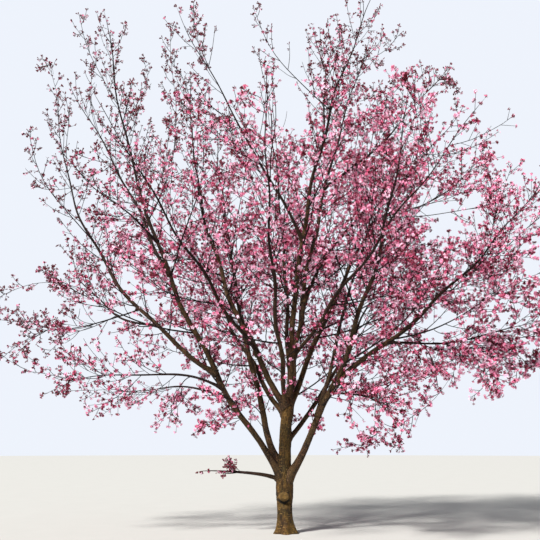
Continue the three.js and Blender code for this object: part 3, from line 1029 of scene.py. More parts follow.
@dataclass
class Branches:
    """Side branches of the limbs, each grown to where the crown is emptiest."""

    limbs: Limbs
    crown: Crown
    spacing: float = 0.85
    part: Pair = (0.15, 0.86)
    lean: float = 42
    lean_spread: float = 16
    lengths: Pair = (0.9, 2.7)
    length_share: float = 0.4
    length_loss: float = 0.55
    length_range: Pair = (0.75, 0.5)
    tries: int = 14
    most_gap: float = 1.25
    middle_share: float = 0.6
    middle_gap: float = 0.6
    middle_weight: float = 0.5
    outside_weight: float = 2.5
    lowest_weight: float = 2
    missing_weight: float = 2
    hull_room: float = 0.35
    lowest: float = 2.5
    steps: int = 13
    foot: float = 0.017
    foot_share: float = 0.45
    tip: float = 0.004
    bow: float = 0.06
    spine_start: int = 8
    outlook: int = 240
    outlook_rise: float = 0.98
    wave_heights: Pair = (0.035, 0.03)
    wave_counts: Pair = (1.1, 0.8)
    thinned: tuple[tuple[str, float], ...] = (
        ("low_left", 0.0), ("left", 0.8), ("far_left", 0.7), ("left_outer", 0.6), ("upper_left", 0.8))
    thickets: tuple[Thicket, ...] = tuple(Thicket(*row) for row in (
        ((-3.2, -0.2, 3.0), (1.8, 2.2, 0.9), 9), ((-4.8, -0.2, 3.3), (0.6, 1.5, 0.6), 11, 0.8),
        ((-4.2, 0.0, 3.9), (0.4, 1.2, 0.35), 6), ((-2.9, 0.0, 5.3), (0.4, 1.5, 0.4), 7),
        ((4.4, -0.2, 2.7), (0.4, 0.8, 0.35), 5), ((3.9, 0.0, 6.6), (0.4, 1.0, 0.4), 5),
        ((-4.55, 0.0, 8.3), (0.15, 0.8, 0.4), 2, 1.4), ((3.2, 0.0, 8.2), (0.3, 0.8, 0.4), 4, 0.6),
        ((0.6, 0.6, 4.9), (0.9, 1.4, 0.9), 10), ((-0.6, 0.6, 5.6), (0.9, 1.4, 0.9), 8),
        ((3.7, 0.2, 3.9), (1.4, 2.3, 1.6), 38), ((3.9, -0.4, 2.3), (1.5, 2.0, 0.5), 9),
        ((2.0, -0.5, 2.3), (1.0, 1.5, 0.6), 9), ((2.6, 0.0, 2.6), (0.7, 1.0, 0.3), 4),
        ((-0.6, -0.9, 2.6), (0.9, 0.9, 0.5), 3), ((-1.45, -0.1, 2.1), (1.0, 1.1, 0.5), 9, 1.0),
        ((-0.9, 0.6, 2.9), (0.7, 1.2, 0.5), 6, 0.6), ((1.3, -0.2, 1.6), (0.9, 0.9, 0.45), 7, 1.0),
        ((-0.45, -4.55, 5.75), (0.15, 0.12, 0.15), 2, 1.0), ((1.9, 0.0, 6.9), (1.0, 1.8, 1.0), 18),
        ((1.9, 0.0, 9.1), (0.7, 1.0, 0.6), 3), ((-2.4, 0.0, 8.9), (0.4, 1.0, 0.9), 4),
    ))
    arch_tries: int = 10
    arch_longest: float = 2.3
    arch_foot: Pair = (0.006, 0.006)
    arch_foot_share: float = 0.6
    arch_outside_weight: float = 9
    perch_span: Pair = (0.13, 0.97)
    perch_count: int = 40
    branch_perch_span: Pair = (0.2, 0.9)
    branch_perch_count: int = 8
    turning_cost: float = 1.7
    thin_perch: float = 1.6
    thin_cost: float = 0.5
    never: float = 99
    arch: float = 0.38
    arch_rise: float = 0.1

    def outside(self, points: Array) -> Array:
        """How far points lie outside the shape that the limbs span.

        Args:
            points: Places.

        Returns:
            The greatest excess of each over the furthest limb, of many directions.
        """
        spine = np.concatenate([course[self.spine_start:] for course in self.limbs.courses])
        rise = np.arcsin(np.linspace(-self.outlook_rise, self.outlook_rise, self.outlook))
        ways = unit(GOLDEN_ANGLE * np.arange(self.outlook), np.degrees(rise))
        return (points @ ways.T - (spine @ ways.T).max(axis=0)).max(axis=1)

    def grow(self) -> Lines:
        """The branches along the limbs, and those of the thickets on both."""
        along = self.along_limbs()
        return Lines.joined([along, self.in_thickets(along)])

    def finished(self, points: Array, feet: list[float], limb: list[int]) -> Lines:
        """Branches as lines, with two slow waves to the side that are nothing at their roots.

        Args:
            points: The places of each.
            feet: Their radii at the root.
            limb: The numbers of their limbs.

        Returns:
            The lines. A wave is its height times the length, a sine of the share and the share.
        """
        share = np.linspace(0, 1, points.shape[1])
        index = np.arange(len(points))[:, None]
        length = np.linalg.norm(points[:, -1] - points[:, 0], axis=-1)[:, None]
        waves = [height * length * np.sin(2 * np.pi * (count * share + chance(index, n, Draw.BRANCH_WAVE)))
                 * share for n, height, count in zip((1, 2), self.wave_heights, self.wave_counts)]
        across, other = ring_frames(points)
        points = points + across * waves[0][..., None] + other * waves[1][..., None]
        return Lines(points, np.array(feet), np.full(len(feet), self.tip), np.array(limb))

    def roomiest(self, thicket: Thicket, number: int, k: int, taken: Array) -> Array:
        """The roomiest of some random places in a thicket.

        Args:
            thicket: The thicket.
            number: Its place in the list.
            k: The branch's place in it.
            taken: Where limbs and branches run.

        Returns:
            The one furthest from all that is taken, less costs for standing outside and in a gap.
        """
        draws = k * self.arch_tries + np.arange(self.arch_tries)
        way = unit(360 * chance(number, draws, Draw.THICKET_AZIMUTH),
                   90 - 180 * chance(number, draws, Draw.THICKET_RISE))
        spread = way * np.cbrt(chance(number, draws, Draw.THICKET_REACH))[:, None]
        places = np.array(thicket.middle) + np.array(thicket.half) * spread
        gaps = np.linalg.norm(places[:, None] - taken, axis=-1).min(axis=1)
        gaps -= self.arch_outside_weight * np.maximum(self.outside(places) - thicket.room, 0)
        gaps -= self.missing_weight * self.crown.missing(places)
        return places[int(np.argmax(gaps))]

    def perches(self, along: Lines) -> Perches:
        """The places on the limbs, and on the branches that they have, where thickets may start.

        Args:
            along: The branches along the limbs.

        Returns:
            Those of the limbs, then those of the branches.
        """
        share = np.linspace(*self.perch_span, self.perch_count)
        found = [Perches(point_at(course, share), direction_at(course, share),
                         np.full(len(share), number), self.limbs.slender(PLANS[number], share))
                 for number, course in enumerate(self.limbs.courses)]
        line = np.repeat(np.arange(len(along.foot)), self.branch_perch_count)
        part = np.tile(np.linspace(*self.branch_perch_span, self.branch_perch_count), len(along.foot))
        found.append(Perches(along.at(line, part), along.towards(line, part), along.limb[line],
                             along.radius(line, part)))
        return Perches.joined(found)

    def in_thickets(self, along: Lines) -> Lines:
        """Arching branches, each to the roomiest of some random places in its thicket.

        Args:
            along: The branches along the limbs.

        Returns:
            The new ones, quadratic curves from the nearest limbs or branches that point their way.
        """
        perches = self.perches(along)
        steps = np.linspace(0, 1, self.steps + 1)[:, None]
        new_perches = slice(3, -1, 2)
        points, feet, limb = [], [], []
        for number, thicket in enumerate(self.thickets):
            for k in range(thicket.branches):
                toward = self.roomiest(thicket, number, k, perches.place) - perches.place
                away = np.linalg.norm(toward, axis=-1)
                aligned = (toward * perches.ahead).sum(-1) / np.maximum(away, NUDGE)
                thin = perches.radius < self.thin_perch * self.tip
                cost = away * (self.turning_cost - aligned) + np.where(thin, self.thin_cost, 0)
                cost = np.where(perches.limb == NUMBERS["low_left"], self.never, cost)
                root = int(np.argmin(cost))
                start, far, owner = perches.place[root], away[root], perches.limb[root]
                reach = min(1.0, self.arch_longest / far)
                end = start + reach * toward[root]
                bend = start + perches.ahead[root] * self.arch * reach * far
                bend[2] += self.arch_rise * far
                curve = (1 - steps) ** 2 * start + 2 * steps * (1 - steps) * bend + steps**2 * end
                foot = min(self.foot, self.arch_foot_share * perches.radius[root],
                           ranged(self.arch_foot, far))
                points.append(curve)
                feet.append(foot)
                limb.append(owner)
                grown = Perches(curve, normed(np.gradient(curve, axis=0)),
                                np.full(len(curve), owner), blend(foot, self.tip, steps[:, 0]))
                perches = Perches.joined([perches, grown.picked(new_perches)])
        return self.finished(np.stack(points), feet, limb)

    def score(self, root: Array, way: Array, length: float, starts: Array, ends: Array) -> Array:
        """How much room branches would have.

        Args:
            root: Where they leave the limb.
            way: A direction for each try.
            length: Their length.
            starts: First ends of all stretches.
            ends: Second ends.

        Returns:
            Gaps at tips and middles up to a limit, less costs for standing outside, too low or in a gap.
        """
        tips = root + way * length
        gap = segment_distances(tips, starts, ends).min(axis=1)
        middle = segment_distances(root + self.middle_share * way * length, starts, ends).min(axis=1)
        score = np.minimum(gap, self.most_gap) + self.middle_weight * np.minimum(middle, self.middle_gap)
        score -= self.outside_weight * np.maximum(self.outside(tips) - self.hull_room, 0)
        score -= self.lowest_weight * np.maximum(self.lowest - tips[:, 2], 0)
        return score - self.missing_weight * self.crown.missing(tips)

    def along_limbs(self) -> Lines:
        """Grows the branches one by one, each of many tries the one with the most room around it."""
        corners = [self.limbs.stretches(number, 0, 1)[0] for number in range(len(PLANS))]
        starts = np.concatenate([c[:-1] for c in corners])
        ends = np.concatenate([c[1:] for c in corners])
        thinned = dict(self.thinned)
        tries = np.arange(self.tries)
        roots, ways, lengths, feet, limb = [], [], [], [], []
        for number, (plan, course) in enumerate(zip(PLANS, self.limbs.courses)):
            full = (self.part[1] - self.part[0]) * plan.length / self.spacing
            count = int(full * thinned.get(plan.name, 1.0))
            for k in range(count):
                share = blend(*self.part, (k + 0.5) / count)
                root = point_at(course, np.array(share))
                ahead = direction_at(course, np.array(share))
                turn = 360 * (tries / self.tries + chance(number, k, Draw.BRANCH_TURN))
                off = chance(number, k * self.tries + tries, Draw.BRANCH_LEAN) - 0.5
                lean = self.lean + self.lean_spread * off
                way = leaning(np.broadcast_to(ahead, (self.tries, 3)), lean, turn)
                length = self.length_share * (1 - self.length_loss * share) * plan.length
                length = length * ranged(self.length_range, chance(number, k, Draw.BRANCH_LENGTH))
                length = np.clip(length, *self.lengths)
                best = way[int(np.argmax(self.score(root, way, length, starts, ends)))]
                starts = np.append(starts, root[None], axis=0)
                ends = np.append(ends, (root + best * length)[None], axis=0)
                feet.append(min(self.foot, self.foot_share * self.limbs.slender(plan, share)))
                for rows, row in ((roots, root), (ways, best), (lengths, length), (limb, number)):
                    rows.append(row)
        points = bowed(np.stack(roots), np.stack(ways), np.array(lengths), self.bow, self.steps)
        return self.finished(points, feet, limb)


@dataclass
class Twigs:
    """Twigs on the limbs by the solids' rule, with finer ones between, and on the side branches."""

    limbs: Limbs
    crown: Crown
    branches: Lines
    lean: float = 48
    lift: float = 0.25
    jitter: float = 50
    length_range: Pair = (0.8, 0.4)
    end_share: float = 0.36
    fewest: int = 3
    # On the stems of the masses
    coarse_spacing: float = 0.61
    finer: int = 3
    reach: float = 1.25
    reach_share: float = 0.42
    radius: float = 0.017
    gap: float = 0.016
    stem_step: float = 0.8
    spray_length: float = 0.56
    spray_sizes: Pair = (0.5, 1.1)
    spray_reach: float = 0.92
    full_size_stem: float = 3.0
    tries: tuple[float, ...] = (1, 0.72, 0.48, 0.3)
    samples: tuple[float, ...] = (0.3, 0.5, 0.67, 0.84, 1)
    between_length: float = 0.8
    # On the bare boughs
    bare_spacing: float = 0.27
    bare_start: float = 0.1
    bare_reach: float = 1.1
    bare_reach_share: float = 0.3
    bare_range: Pair = (0.55, 0.55)
    lowest_twig: float = 1.45
    low_twigs: Pair = (1.4, 3.2)
    low_length: float = 0.3
    # On the side branches
    side_spacing: float = 0.27
    side_part: Pair = (0.12, 0.86)
    side_lift: float = 0.6
    side_length: float = 0.5
    side_most: float = 1.9
    side_foot: float = 0.6
    side_feet: Pair = (0.0045, 0.008)
    # On all of them
    open_length: float = 0.68
    open_lift: float = 0.5
    outer_part: float = 0.8
    bow_range: Pair = (0.03, 0.05)
    wave_height: float = 0.08
    wave_count: float = 1.3
    stoutness: float = 0.34
    slim_foot: Pair = (0.003, 0.009)
    feet: Pair = (0.0056, 0.014)
    tip: float = 0.0036
    steps: int = 6
    # The ends of limbs and branches
    limb_end: float = 1.8
    limb_end_radii: Pair = (0.009, 0.005)
    branch_end: float = 0.5

    def grow(self) -> Lines:
        """The twigs on every branch, on every stem and on every bough."""
        numbers = range(len(PLANS))
        return Lines.joined([self.on_branches(), *map(self.on_stem, numbers), *map(self.on_bough, numbers)])

    def on_branches(self) -> Lines:
        """Twigs on the side branches, by the rule of the stems."""
        lengths = self.branches.lengths()
        line, share = spaced(lengths, np.full(len(lengths), self.side_spacing), self.fewest)
        share = ranged(self.side_part, share)
        index = np.arange(len(line))
        turn = GOLDEN_ANGLE * index + self.jitter * chance(line, index, Draw.SIDE_JITTER)
        way = leaning(self.branches.towards(line, share), self.lean, turn)
        way = normed(way + UP * self.lift * self.side_lift)
        varied = ranged(self.length_range, chance(line, index, Draw.SIDE_LENGTH))
        length = self.side_length * np.minimum(lengths[line], self.side_most)
        length = length * blend(1, self.end_share, share) * varied
        foot = np.clip(self.side_foot * self.branches.radius(line, share), *self.side_feet)
        return self.twig_lines(self.branches.limb[line], self.branches.at(line, share), way, length, foot)

    def in_space(self, number: int, points: Array) -> Array:
        """Whether balls of a twig's radius lie in a mass's own space.

        Args:
            number: The limb.
            points: Middles of the balls.

        Returns:
            Whether each is nearer to its stem than to any other, clear of boughs and above ground.
        """
        stems = []
        clear = points[:, 2] - self.radius > self.gap
        for i, plan in enumerate(PLANS):
            corners, _ = self.limbs.stretches(i, plan.bare, 1)
            stems.append(course_distances(points, corners).min(axis=1))
            corners, radii = self.limbs.stretches(i, 0, plan.bare)
            away = course_distances(points, corners) - radii
            clear &= (away > self.radius + self.gap).all(axis=1)
        own = stems.pop(number)
        return clear & (np.min(stems, axis=0) > own + 2 * self.radius + self.gap)

    def on_stem(self, number: int) -> Lines:
        """The twigs of one mass.

        Every third is a twig of the solids, as long as it and its end spray together. The rest are shorter.

        Args:
            number: The limb.

        Returns:
            The twigs that find room, as lines.
        """
        plan = PLANS[number]
        stem_length = (1 - plan.bare) * plan.length
        end = 1 - self.spray_length / plan.length
        steps = max(2, int((end - plan.bare) * plan.length / self.stem_step + 0.5))
        stem = point_at(self.limbs.courses[number], np.linspace(plan.bare, end, steps + 1))
        size = float(np.clip(stem_length / self.full_size_stem, *self.spray_sizes))
        coarse = max(self.fewest, int(stem_length / self.coarse_spacing + 0.5))
        index = (np.arange(coarse * self.finer) - 1) / self.finer
        share = (index + 0.5) / coarse
        share, index = share[share > 0], index[share > 0]
        rule = np.isclose(index, np.round(index))
        turn = 360 * chance(number, 0, Draw.TWIG_TURN) + GOLDEN_ANGLE * index
        turn = turn + self.jitter * chance(number, index, Draw.STEM_JITTER)
        turn = np.where(rule, turn, turn + 360 * chance(number, index, Draw.BETWEEN_TURN))
        way = normed(leaning(direction_at(stem, share), self.lean, turn) + UP * self.lift)
        most = min(self.reach, self.reach_share * stem_length)
        varied = ranged(self.length_range, chance(number, index, Draw.STEM_LENGTH))
        length = most * blend(1, self.end_share, share) * varied
        root = point_at(stem, share)
        found = np.zeros(len(share))
        samples = np.array(self.samples)[None, :, None]
        for cut in self.tries:
            places = root[:, None] + way[:, None] * (cut * length)[:, None, None] * samples
            fits = self.in_space(number, places.reshape(-1, 3)).reshape(len(share), -1).all(axis=1)
            found = np.where((found == 0) & fits, cut, found)
        total = found * length + self.spray_length * size * self.spray_reach
        total = np.where(rule, total, total * self.between_length)
        keep = found > 0
        foot = self.stout(number, blend(plan.bare, end, share[keep]))
        return self.twig_lines(np.full(len(foot), number), root[keep], way[keep], total[keep], foot)

    def on_bough(self, number: int) -> Lines:
        """Lighter twigs on the upper part of one bare bough.

        Args:
            number: The limb.

        Returns:
            The twigs, shorter near the ground.
        """
        plan = PLANS[number]
        count = max(1, int((plan.bare - self.bare_start) * plan.length / self.bare_spacing))
        index = np.arange(count)
        share = blend(self.bare_start, plan.bare, (index + 0.5) / count)
        course = self.limbs.courses[number]
        turn = 360 * chance(number, 3, Draw.TWIG_TURN) + GOLDEN_ANGLE * index
        turn = turn + self.jitter * chance(number, index, Draw.BARE_JITTER)
        way = normed(leaning(direction_at(course, share), self.lean, turn) + UP * self.lift)
        root = point_at(course, share)
        most = min(self.bare_reach, self.bare_reach_share * plan.length)
        length = most * ranged(self.bare_range, chance(number, index, Draw.BARE_LENGTH))
        length *= blend(self.low_length, 1, smooth_step(root[:, 2], *self.low_twigs))
        keep = root[:, 2] > self.lowest_twig
        foot = self.stout(number, share[keep])
        return self.twig_lines(np.full(len(foot), number), root[keep], way[keep], length[keep], foot)

    def twig_lines(self, limb: Array, root: Array, way: Array, length: Array, foot: Array) -> Lines:
        """Twigs as lines that curve upward and wander in one slow wave, steeper in the open crown.

        Args:
            limb: The limb of each.
            root: Where it leaves it.
            way: Its chord's direction.
            length: Its chord's length.
            foot: Its radius at the root.

        Returns:
            The lines that the crown's gaps and its box leave.
        """
        full = self.crown.fullness(root)
        way = normed(way + UP * (self.open_lift * (1 - full))[:, None])
        length = length * blend(self.open_length, 1, full)
        lacking = self.crown.missing(root + self.outer_part * way * length[:, None])
        shown = chance(limb, np.arange(len(root)), Draw.TWIG_SHOWN) >= lacking
        shown &= self.crown.inside(root + way * length[:, None])
        limb, root, way, length, foot = (x[shown] for x in (limb, root, way, length, foot))
        index = np.arange(len(root))
        bow = ranged(self.bow_range, chance(limb, index, Draw.TWIG_BOW))
        points = bowed(root, way, length, bow, self.steps)
        share = np.linspace(0, 1, self.steps + 1)
        phase = chance(limb, index, Draw.TWIG_WAVE)[:, None]
        wave = np.sin(2 * np.pi * (self.wave_count * share + phase))
        wander = self.wave_height * length[:, None] * wave * share * (1 - share)
        points += square_to(way)[:, None] * wander[..., None]
        foot = np.clip(np.minimum(foot, ranged(self.slim_foot, length)), *self.feet)
        return Lines(points, foot, np.full(len(root), self.tip), limb)

    def stout(self, number: int, share: Array) -> Array:
        """The radius at the root of twigs on a limb."""
        return self.stoutness * self.limbs.slender(PLANS[number], share)

    def limb_ends(self) -> Lines:
        """The last stretch of every limb, which carries shoots and flowers as a twig does."""
        points = []
        for plan, course in zip(PLANS, self.limbs.courses):
            start = max(plan.bare, 1 - self.limb_end / plan.length)
            points.append(point_at(course, np.linspace(start, 1, self.steps + 1)))
        foot, tip = (np.full(len(points), radius) for radius in self.limb_end_radii)
        return Lines(np.stack(points), foot, tip, np.arange(len(points)))

    def branch_ends(self) -> Lines:
        """The outer half of every side branch."""
        count = len(self.branches.foot)
        line = np.repeat(np.arange(count), self.steps + 1)
        share = np.tile(np.linspace(self.branch_end, 1, self.steps + 1), count)
        points = self.branches.at(line, share).reshape(-1, self.steps + 1, 3)
        return Lines(points, self.branches.foot / 2, self.branches.tip, self.branches.limb)


@dataclass(frozen=True)
class Shoots:
    """Short shoots on twigs and on the thin ends of limbs and branches."""

    crown: Crown
    spacing: Pair = (0.15, 0.14)
    fewest: int = 2
    part: Pair = (0.1, 0.88)
    jitter: float = 70
    lean: float = 46
    lean_spread: float = 18
    lift: float = 0.16
    length_share: float = 0.42
    most_room: float = 1.1
    end_loss: float = 0.62
    length_range: Pair = (0.55, 0.8)
    lengths: Pair = (0.07, 0.52)
    open_lean: float = 14
    open_length: float = 0.42
    open_share: float = 0.66
    bow: float = 0.04
    foot_share: float = 0.6
    feet: Pair = (0.0046, 0.0068)
    tip: float = 0.0032
    steps: int = 1

    def grow(self, carriers: Lines) -> Lines:
        """Shoots along lines, by turns round them, fewer and shorter in the open crown.

        Args:
            carriers: The lines that they grow on.

        Returns:
            The shoots that the crown's fullness, its gaps and its box leave.
        """
        lengths = carriers.lengths()
        full = self.crown.fullness(carriers.at(np.arange(len(lengths)), np.full(len(lengths), 0.5)))
        line, share = spaced(lengths, blend(*self.spacing, full), self.fewest)
        share = ranged(self.part, share)
        open_here = 1 - full[line]
        index = np.arange(len(line))
        turn = GOLDEN_ANGLE * index + self.jitter * chance(line, index, Draw.SHOOT_TURN)
        off = chance(line, index, Draw.SHOOT_LEAN) - 0.5
        lean = self.lean + self.open_lean * open_here + self.lean_spread * off
        way = normed(leaning(carriers.towards(line, share), lean, turn) + UP * self.lift)
        length = self.length_share * np.minimum(lengths[line], self.most_room) * (1 - self.end_loss * share)
        length = length * ranged(self.length_range, chance(line, index, Draw.SHOOT_LENGTH))
        length = np.clip(length * blend(1, self.open_length, open_here), *self.lengths)
        root = carriers.at(line, share)
        tips = root + way * length[:, None]
        wanted = blend(self.open_share, 1, self.crown.fullness(tips)) * (1 - self.crown.missing(tips))
        keep = (chance(line, index, Draw.SHOOT_SHOWN) < wanted) & self.crown.inside(tips)
        points = bowed(root, way, length, np.full(len(root), self.bow), self.steps)
        foot = np.clip(self.foot_share * carriers.radius(line, share), *self.feet)
        return Lines(points, foot, np.full(len(root), self.tip), carriers.limb[line]).picked(keep)


# Blossom


@dataclass(frozen=True)
class NearLimbs:
    """The limbs on the near side of the crown, which show dark through the blossom."""

    limbs: Limbs
    part: Pair = (0.08, 0.94)
    furthest: float = 0.8
    room: float = 0.024
    bared: float = 0.65
    thinnest_foot: float = 0.026

    def hidden_by(self, places: Array) -> Array:
        """Whether places stand between the eye and one of these limbs, or beside its edge.

        Args:
            places: Where blossom may grow.

        Returns:
            Where a shadow is nearer to a limb's than its radius and some room, and the place is nearer
            to the eye than the limb.
        """
        found = np.zeros(len(places), bool)
        shadows = shadow(places)
        for number, plan in enumerate(PLANS):
            if plan.foot < self.thinnest_foot:
                continue
            corners, _ = self.limbs.stretches(number, *self.part)
            shares = np.linspace(*self.part, len(corners) - 1)
            away = course_distances(shadows, shadow(corners))
            depth = (corners[:-1, 1] + corners[1:, 1]) / 2
            close = away < self.limbs.slender(plan, shares) + self.room
            found |= (close & (depth < self.furthest) & (places[:, 1:2] < depth)).any(axis=1)
        return found


@dataclass
class Clusters(Rows):
    """Places where flowers, buds and leaves grow together, one row each.

    full is how full the crown is there, and spray the number of the line that carries them.
    """

    place: Array
    outward: Array
    full: Array
    spray: Array


@dataclass(frozen=True)
class Growth:
    """How many things of a kind a cluster has in the open and the full crown.

    scatter is how far they stray from outward, and drop how far their weight lowers them.
    """

    in_open: float
    in_full: float
    scatter: float
    drop: float


@dataclass
class Blossom:
    """Flowers of five petals on stalks, buds and young leaves, in clusters along twigs and shoots."""

    crown: Crown
    near_limbs: NearLimbs
    seed: int = 7
    # Clusters
    spacing: Pair = (0.17, 0.2)
    outer_part: float = 0.6
    turn_spread: float = 60
    tip_lean: float = 20
    side_lean: float = 75
    nearly_tip: float = 0.999
    gap_weight: float = 0.5
    most: int = 8
    # Flowers
    flower_growth: Growth = Growth(0.5, 5.1, 0.55, 0.18)
    radius: float = 0.0272
    radius_spread: float = 0.12
    widest_spread: float = 2
    petal_side: float = 0.76
    petal_half_angle: float = 28
    petal_curl: Triple = (9, -6, 9)
    petal_unevenness: float = 7
    cups: Pair = (8, 58)
    cup_shape: Pair = (1.2, 2.2)
    face_scatter: float = 0.45
    face_drop: float = 0.2
    stalk: Pair = (0.016, 0.036)
    calyx_radius: float = 0.0045
    tint_scatter: float = 0.28
    # Buds and leaves
    bud_growth: Growth = Growth(3.4, 0.8, 0.5, 0.05)
    bud_length: Pair = (0.034, 0.06)
    bud_radius: float = 0.0135
    leaf_growth: Growth = Growth(0.8, 0.6, 0.6, 0)
    leaf_length: Pair = (0.03, 0.052)
    leaf_width: float = 0.3
    leaf_fold: float = 0.5
    midrib_drop: float = 0.2

    def __post_init__(self) -> None:
        """Starts the seeded draws."""
        self.rng = np.random.default_rng(self.seed)

    def clusters(self, carriers: list[Lines], starts: tuple[float, ...]) -> Clusters:
        """Clusters along lines, closer together where the crown is full, and one at each tip.

        Args:
            carriers: Twigs, shoots, limb ends and branch ends.
            starts: Shares of their lengths before which nothing grows.

        Returns:
            The clusters, fewer of them in thin patches and gaps and before the near limbs.
        """
        found = []
        sprays = 0
        for lines, start in zip(carriers, starts):
            lengths = lines.lengths()
            whole = np.arange(len(lengths))
            outer = self.crown.fullness(lines.at(whole, np.full(len(whole), self.outer_part)))
            spacing = blend(*self.spacing, outer)
            line, share = spaced(lengths * (1 - start), spacing, 1)
            share = start + (1 - start) * share
            line, share = np.append(line, whole), np.append(share, np.ones(len(whole)))
            turn = GOLDEN_ANGLE * np.arange(len(line)) + self.rng.uniform(0, self.turn_spread, len(line))
            lean = np.where(share > self.nearly_tip, self.tip_lean, self.side_lean)
            outward = leaning(lines.towards(line, share), lean, turn)
            place = lines.at(line, share)
            found.append(Clusters(place, outward, self.crown.fullness(place), sprays + line))
            sprays += len(whole)
        every = Clusters.joined(found)
        lacking = np.maximum(self.gap_weight * self.crown.missing(every.place),
                             self.near_limbs.bared * self.near_limbs.hidden_by(every.place))
        shown = self.rng.uniform(0, 1, len(every.full)) >= lacking
        return every.picked(shown & self.crown.inside(every.place))

    def grown(self, clusters: Clusters, growth: Growth) -> tuple[Array, Array, Array]:
        """Things of one kind in the clusters: Poisson draws with a cap.

        Args:
            clusters: Where they grow.
            growth: How many there are and how they stand.

        Returns:
            The cluster, root and direction of each: outward plus scattered normal draws, less the drop.
        """
        mean = blend(growth.in_open, growth.in_full, clusters.full)
        which = np.repeat(np.arange(len(mean)), np.minimum(self.rng.poisson(mean), self.most))
        wild = self.rng.normal(0, 1, (len(which), 3))
        out = normed(clusters.outward[which] + growth.scatter * wild - UP * growth.drop)
        return which, clusters.place[which], out

    def flowers(self, clusters: Clusters) -> tuple[dict[Tint, Surface], Surface]:
        """All flowers, by tint, and their stalks.

        Each petal is two triangles from the flower's heart to its tip, with a corner out to each side.

        Args:
            clusters: Where they grow.

        Returns:
            The petals of each tint, and the stalks with their calyx.
        """
        which, root, out = self.grown(clusters, self.flower_growth)
        heart = root + out * self.rng.uniform(*self.stalk, len(which))[:, None]
        wild = self.rng.normal(0, 1, (len(which), 3))
        vertices = self.petals(heart, normed(out + self.face_scatter * wild - UP * self.face_drop))
        tints = self.tints(clusters.spray[which])
        corner = 1 + 3 * np.arange(5)
        one = np.concatenate([np.stack([0 * corner, corner + side, corner + side + 1], -1)
                              for side in (0, 1)])
        petals = {}
        for number, tint in enumerate(Tint):
            mine = vertices[tints == number]
            petals[tint] = Surface(mine.reshape(-1, 3), copied(one, len(mine)))
        return petals, self.stalks(root, heart, out)

    def petals(self, heart: Array, face: Array) -> Array:
        """The vertices of flowers of five petals.

        Args:
            heart: The middle of each flower.
            face: The way that it faces.

        Returns:
            For each flower its heart, and three corners for each petal: the heart plus a reach, times
            the cosine of the lift along the petal and its sine along the face.
        """
        count = len(heart)
        spread = self.rng.normal(0, 1, count).clip(-self.widest_spread, self.widest_spread)
        size = self.radius * (1 + self.radius_spread * spread)
        cup = blend(*self.cups, self.rng.beta(*self.cup_shape, count))
        centre = self.rng.uniform(0, FIFTH, count)[:, None] + FIFTH * np.arange(5)
        half = math.radians(self.petal_half_angle)
        angles = np.stack([centre - half, centre, centre + half], -1)
        uneven = self.rng.normal(0, self.petal_unevenness, (count, 5, 1))
        lifts = np.radians(cup[:, None, None] + np.array(self.petal_curl) + uneven)
        reach = size[:, None, None] * np.array([self.petal_side, 1, self.petal_side])
        level = around(angles, *(axis[:, None, None] for axis in axes_across(face)))
        spots = (heart[:, None, None] + (reach * np.cos(lifts))[..., None] * level
                 + (reach * np.sin(lifts))[..., None] * face[:, None, None])
        return np.concatenate([heart[:, None], spots.reshape(count, -1, 3)], axis=1)

    def tints(self, sprays: Array) -> Array:
        """The tint number of each flower, at or near that of its spray.

        Args:
            sprays: The number of each flower's spray.

        Returns:
            The band of the tints' shares that holds the spray's draw plus a small normal one.
        """
        limits = np.cumsum([TINT_SHARES[tint] for tint in Tint])
        draw = chance(sprays, 5, Draw.SPRAY_TINT) + self.rng.normal(0, self.tint_scatter, len(sprays))
        bands = np.searchsorted(limits, np.clip(draw, 0, limits[-1] - NUDGE), side="right")
        return bands.clip(0, len(limits) - 1)

    def stalks(self, root: Array, heart: Array, out: Array) -> Surface:
        """Stalks from twigs to flowers that widen into a calyx: one narrow blade each."""
        across = square_to(out) * self.calyx_radius
        vertices = np.stack([root, heart + across, heart - across], axis=1).reshape(-1, 3)
        return Surface(vertices, np.arange(len(vertices)).reshape(-1, 3))

    def buds(self, clusters: Clusters) -> Surface:
        """Buds: drops with three sides and a blunt tip.

        Args:
            clusters: Where they grow.

        Returns:
            Four triangles for each, from its root to a ring of three corners.
        """
        which, root, out = self.grown(clusters, self.bud_growth)
        length = self.rng.uniform(*self.bud_length, len(which))[:, None]
        ring = around(turns(3), *(axis[:, None] for axis in axes_across(out)))
        girth = self.bud_radius * (length / self.bud_length[1])[..., None]
        vertices = np.concatenate([root[:, None], (root + out * length)[:, None] + girth * ring], axis=1)
        one = np.array([[0, 2, 1], [0, 3, 2], [0, 1, 3], [1, 2, 3]])
        return Surface(vertices.reshape(-1, 3), copied(one, len(which)))

    def leaves(self, clusters: Clusters) -> Surface:
        """Young leaves: pointed blades folded along the midrib.

        Args:
            clusters: Where they grow.

        Returns:
            Four triangles for each, from its root over two raised edges and the midrib to its tip.
        """
        which, root, out = self.grown(clusters, self.leaf_growth)
        length = self.rng.uniform(*self.leaf_length, len(which))[:, None]
        wide = around(self.rng.uniform(0, 2 * np.pi, len(which)), *axes_across(out))
        deep = np.cross(out, wide)
        middle = root + out * length * 0.5
        edge = length * self.leaf_width / 2
        left, right = (middle + wide * edge * side + deep * edge * self.leaf_fold for side in (-1, 1))
        midrib = middle - deep * edge * self.midrib_drop
        vertices = np.stack([root, left, midrib, right, root + out * length], axis=1)
        one = np.array([[0, 2, 1], [0, 3, 2], [1, 2, 4], [2, 3, 4]])
        return Surface(vertices.reshape(-1, 3), copied(one, len(which)))


# Finishes


def linear(display: Colour) -> tuple[float, float, float, float]:
    """A display colour of 0 to 255 as the light that Blender's sockets hold, by the display's curve."""
    shares = [c / 255 for c in display]
    return (*(s / 12.92 if s < 0.04045 else ((s + 0.055) / 1.055) ** 2.4 for s in shares), 1.0)


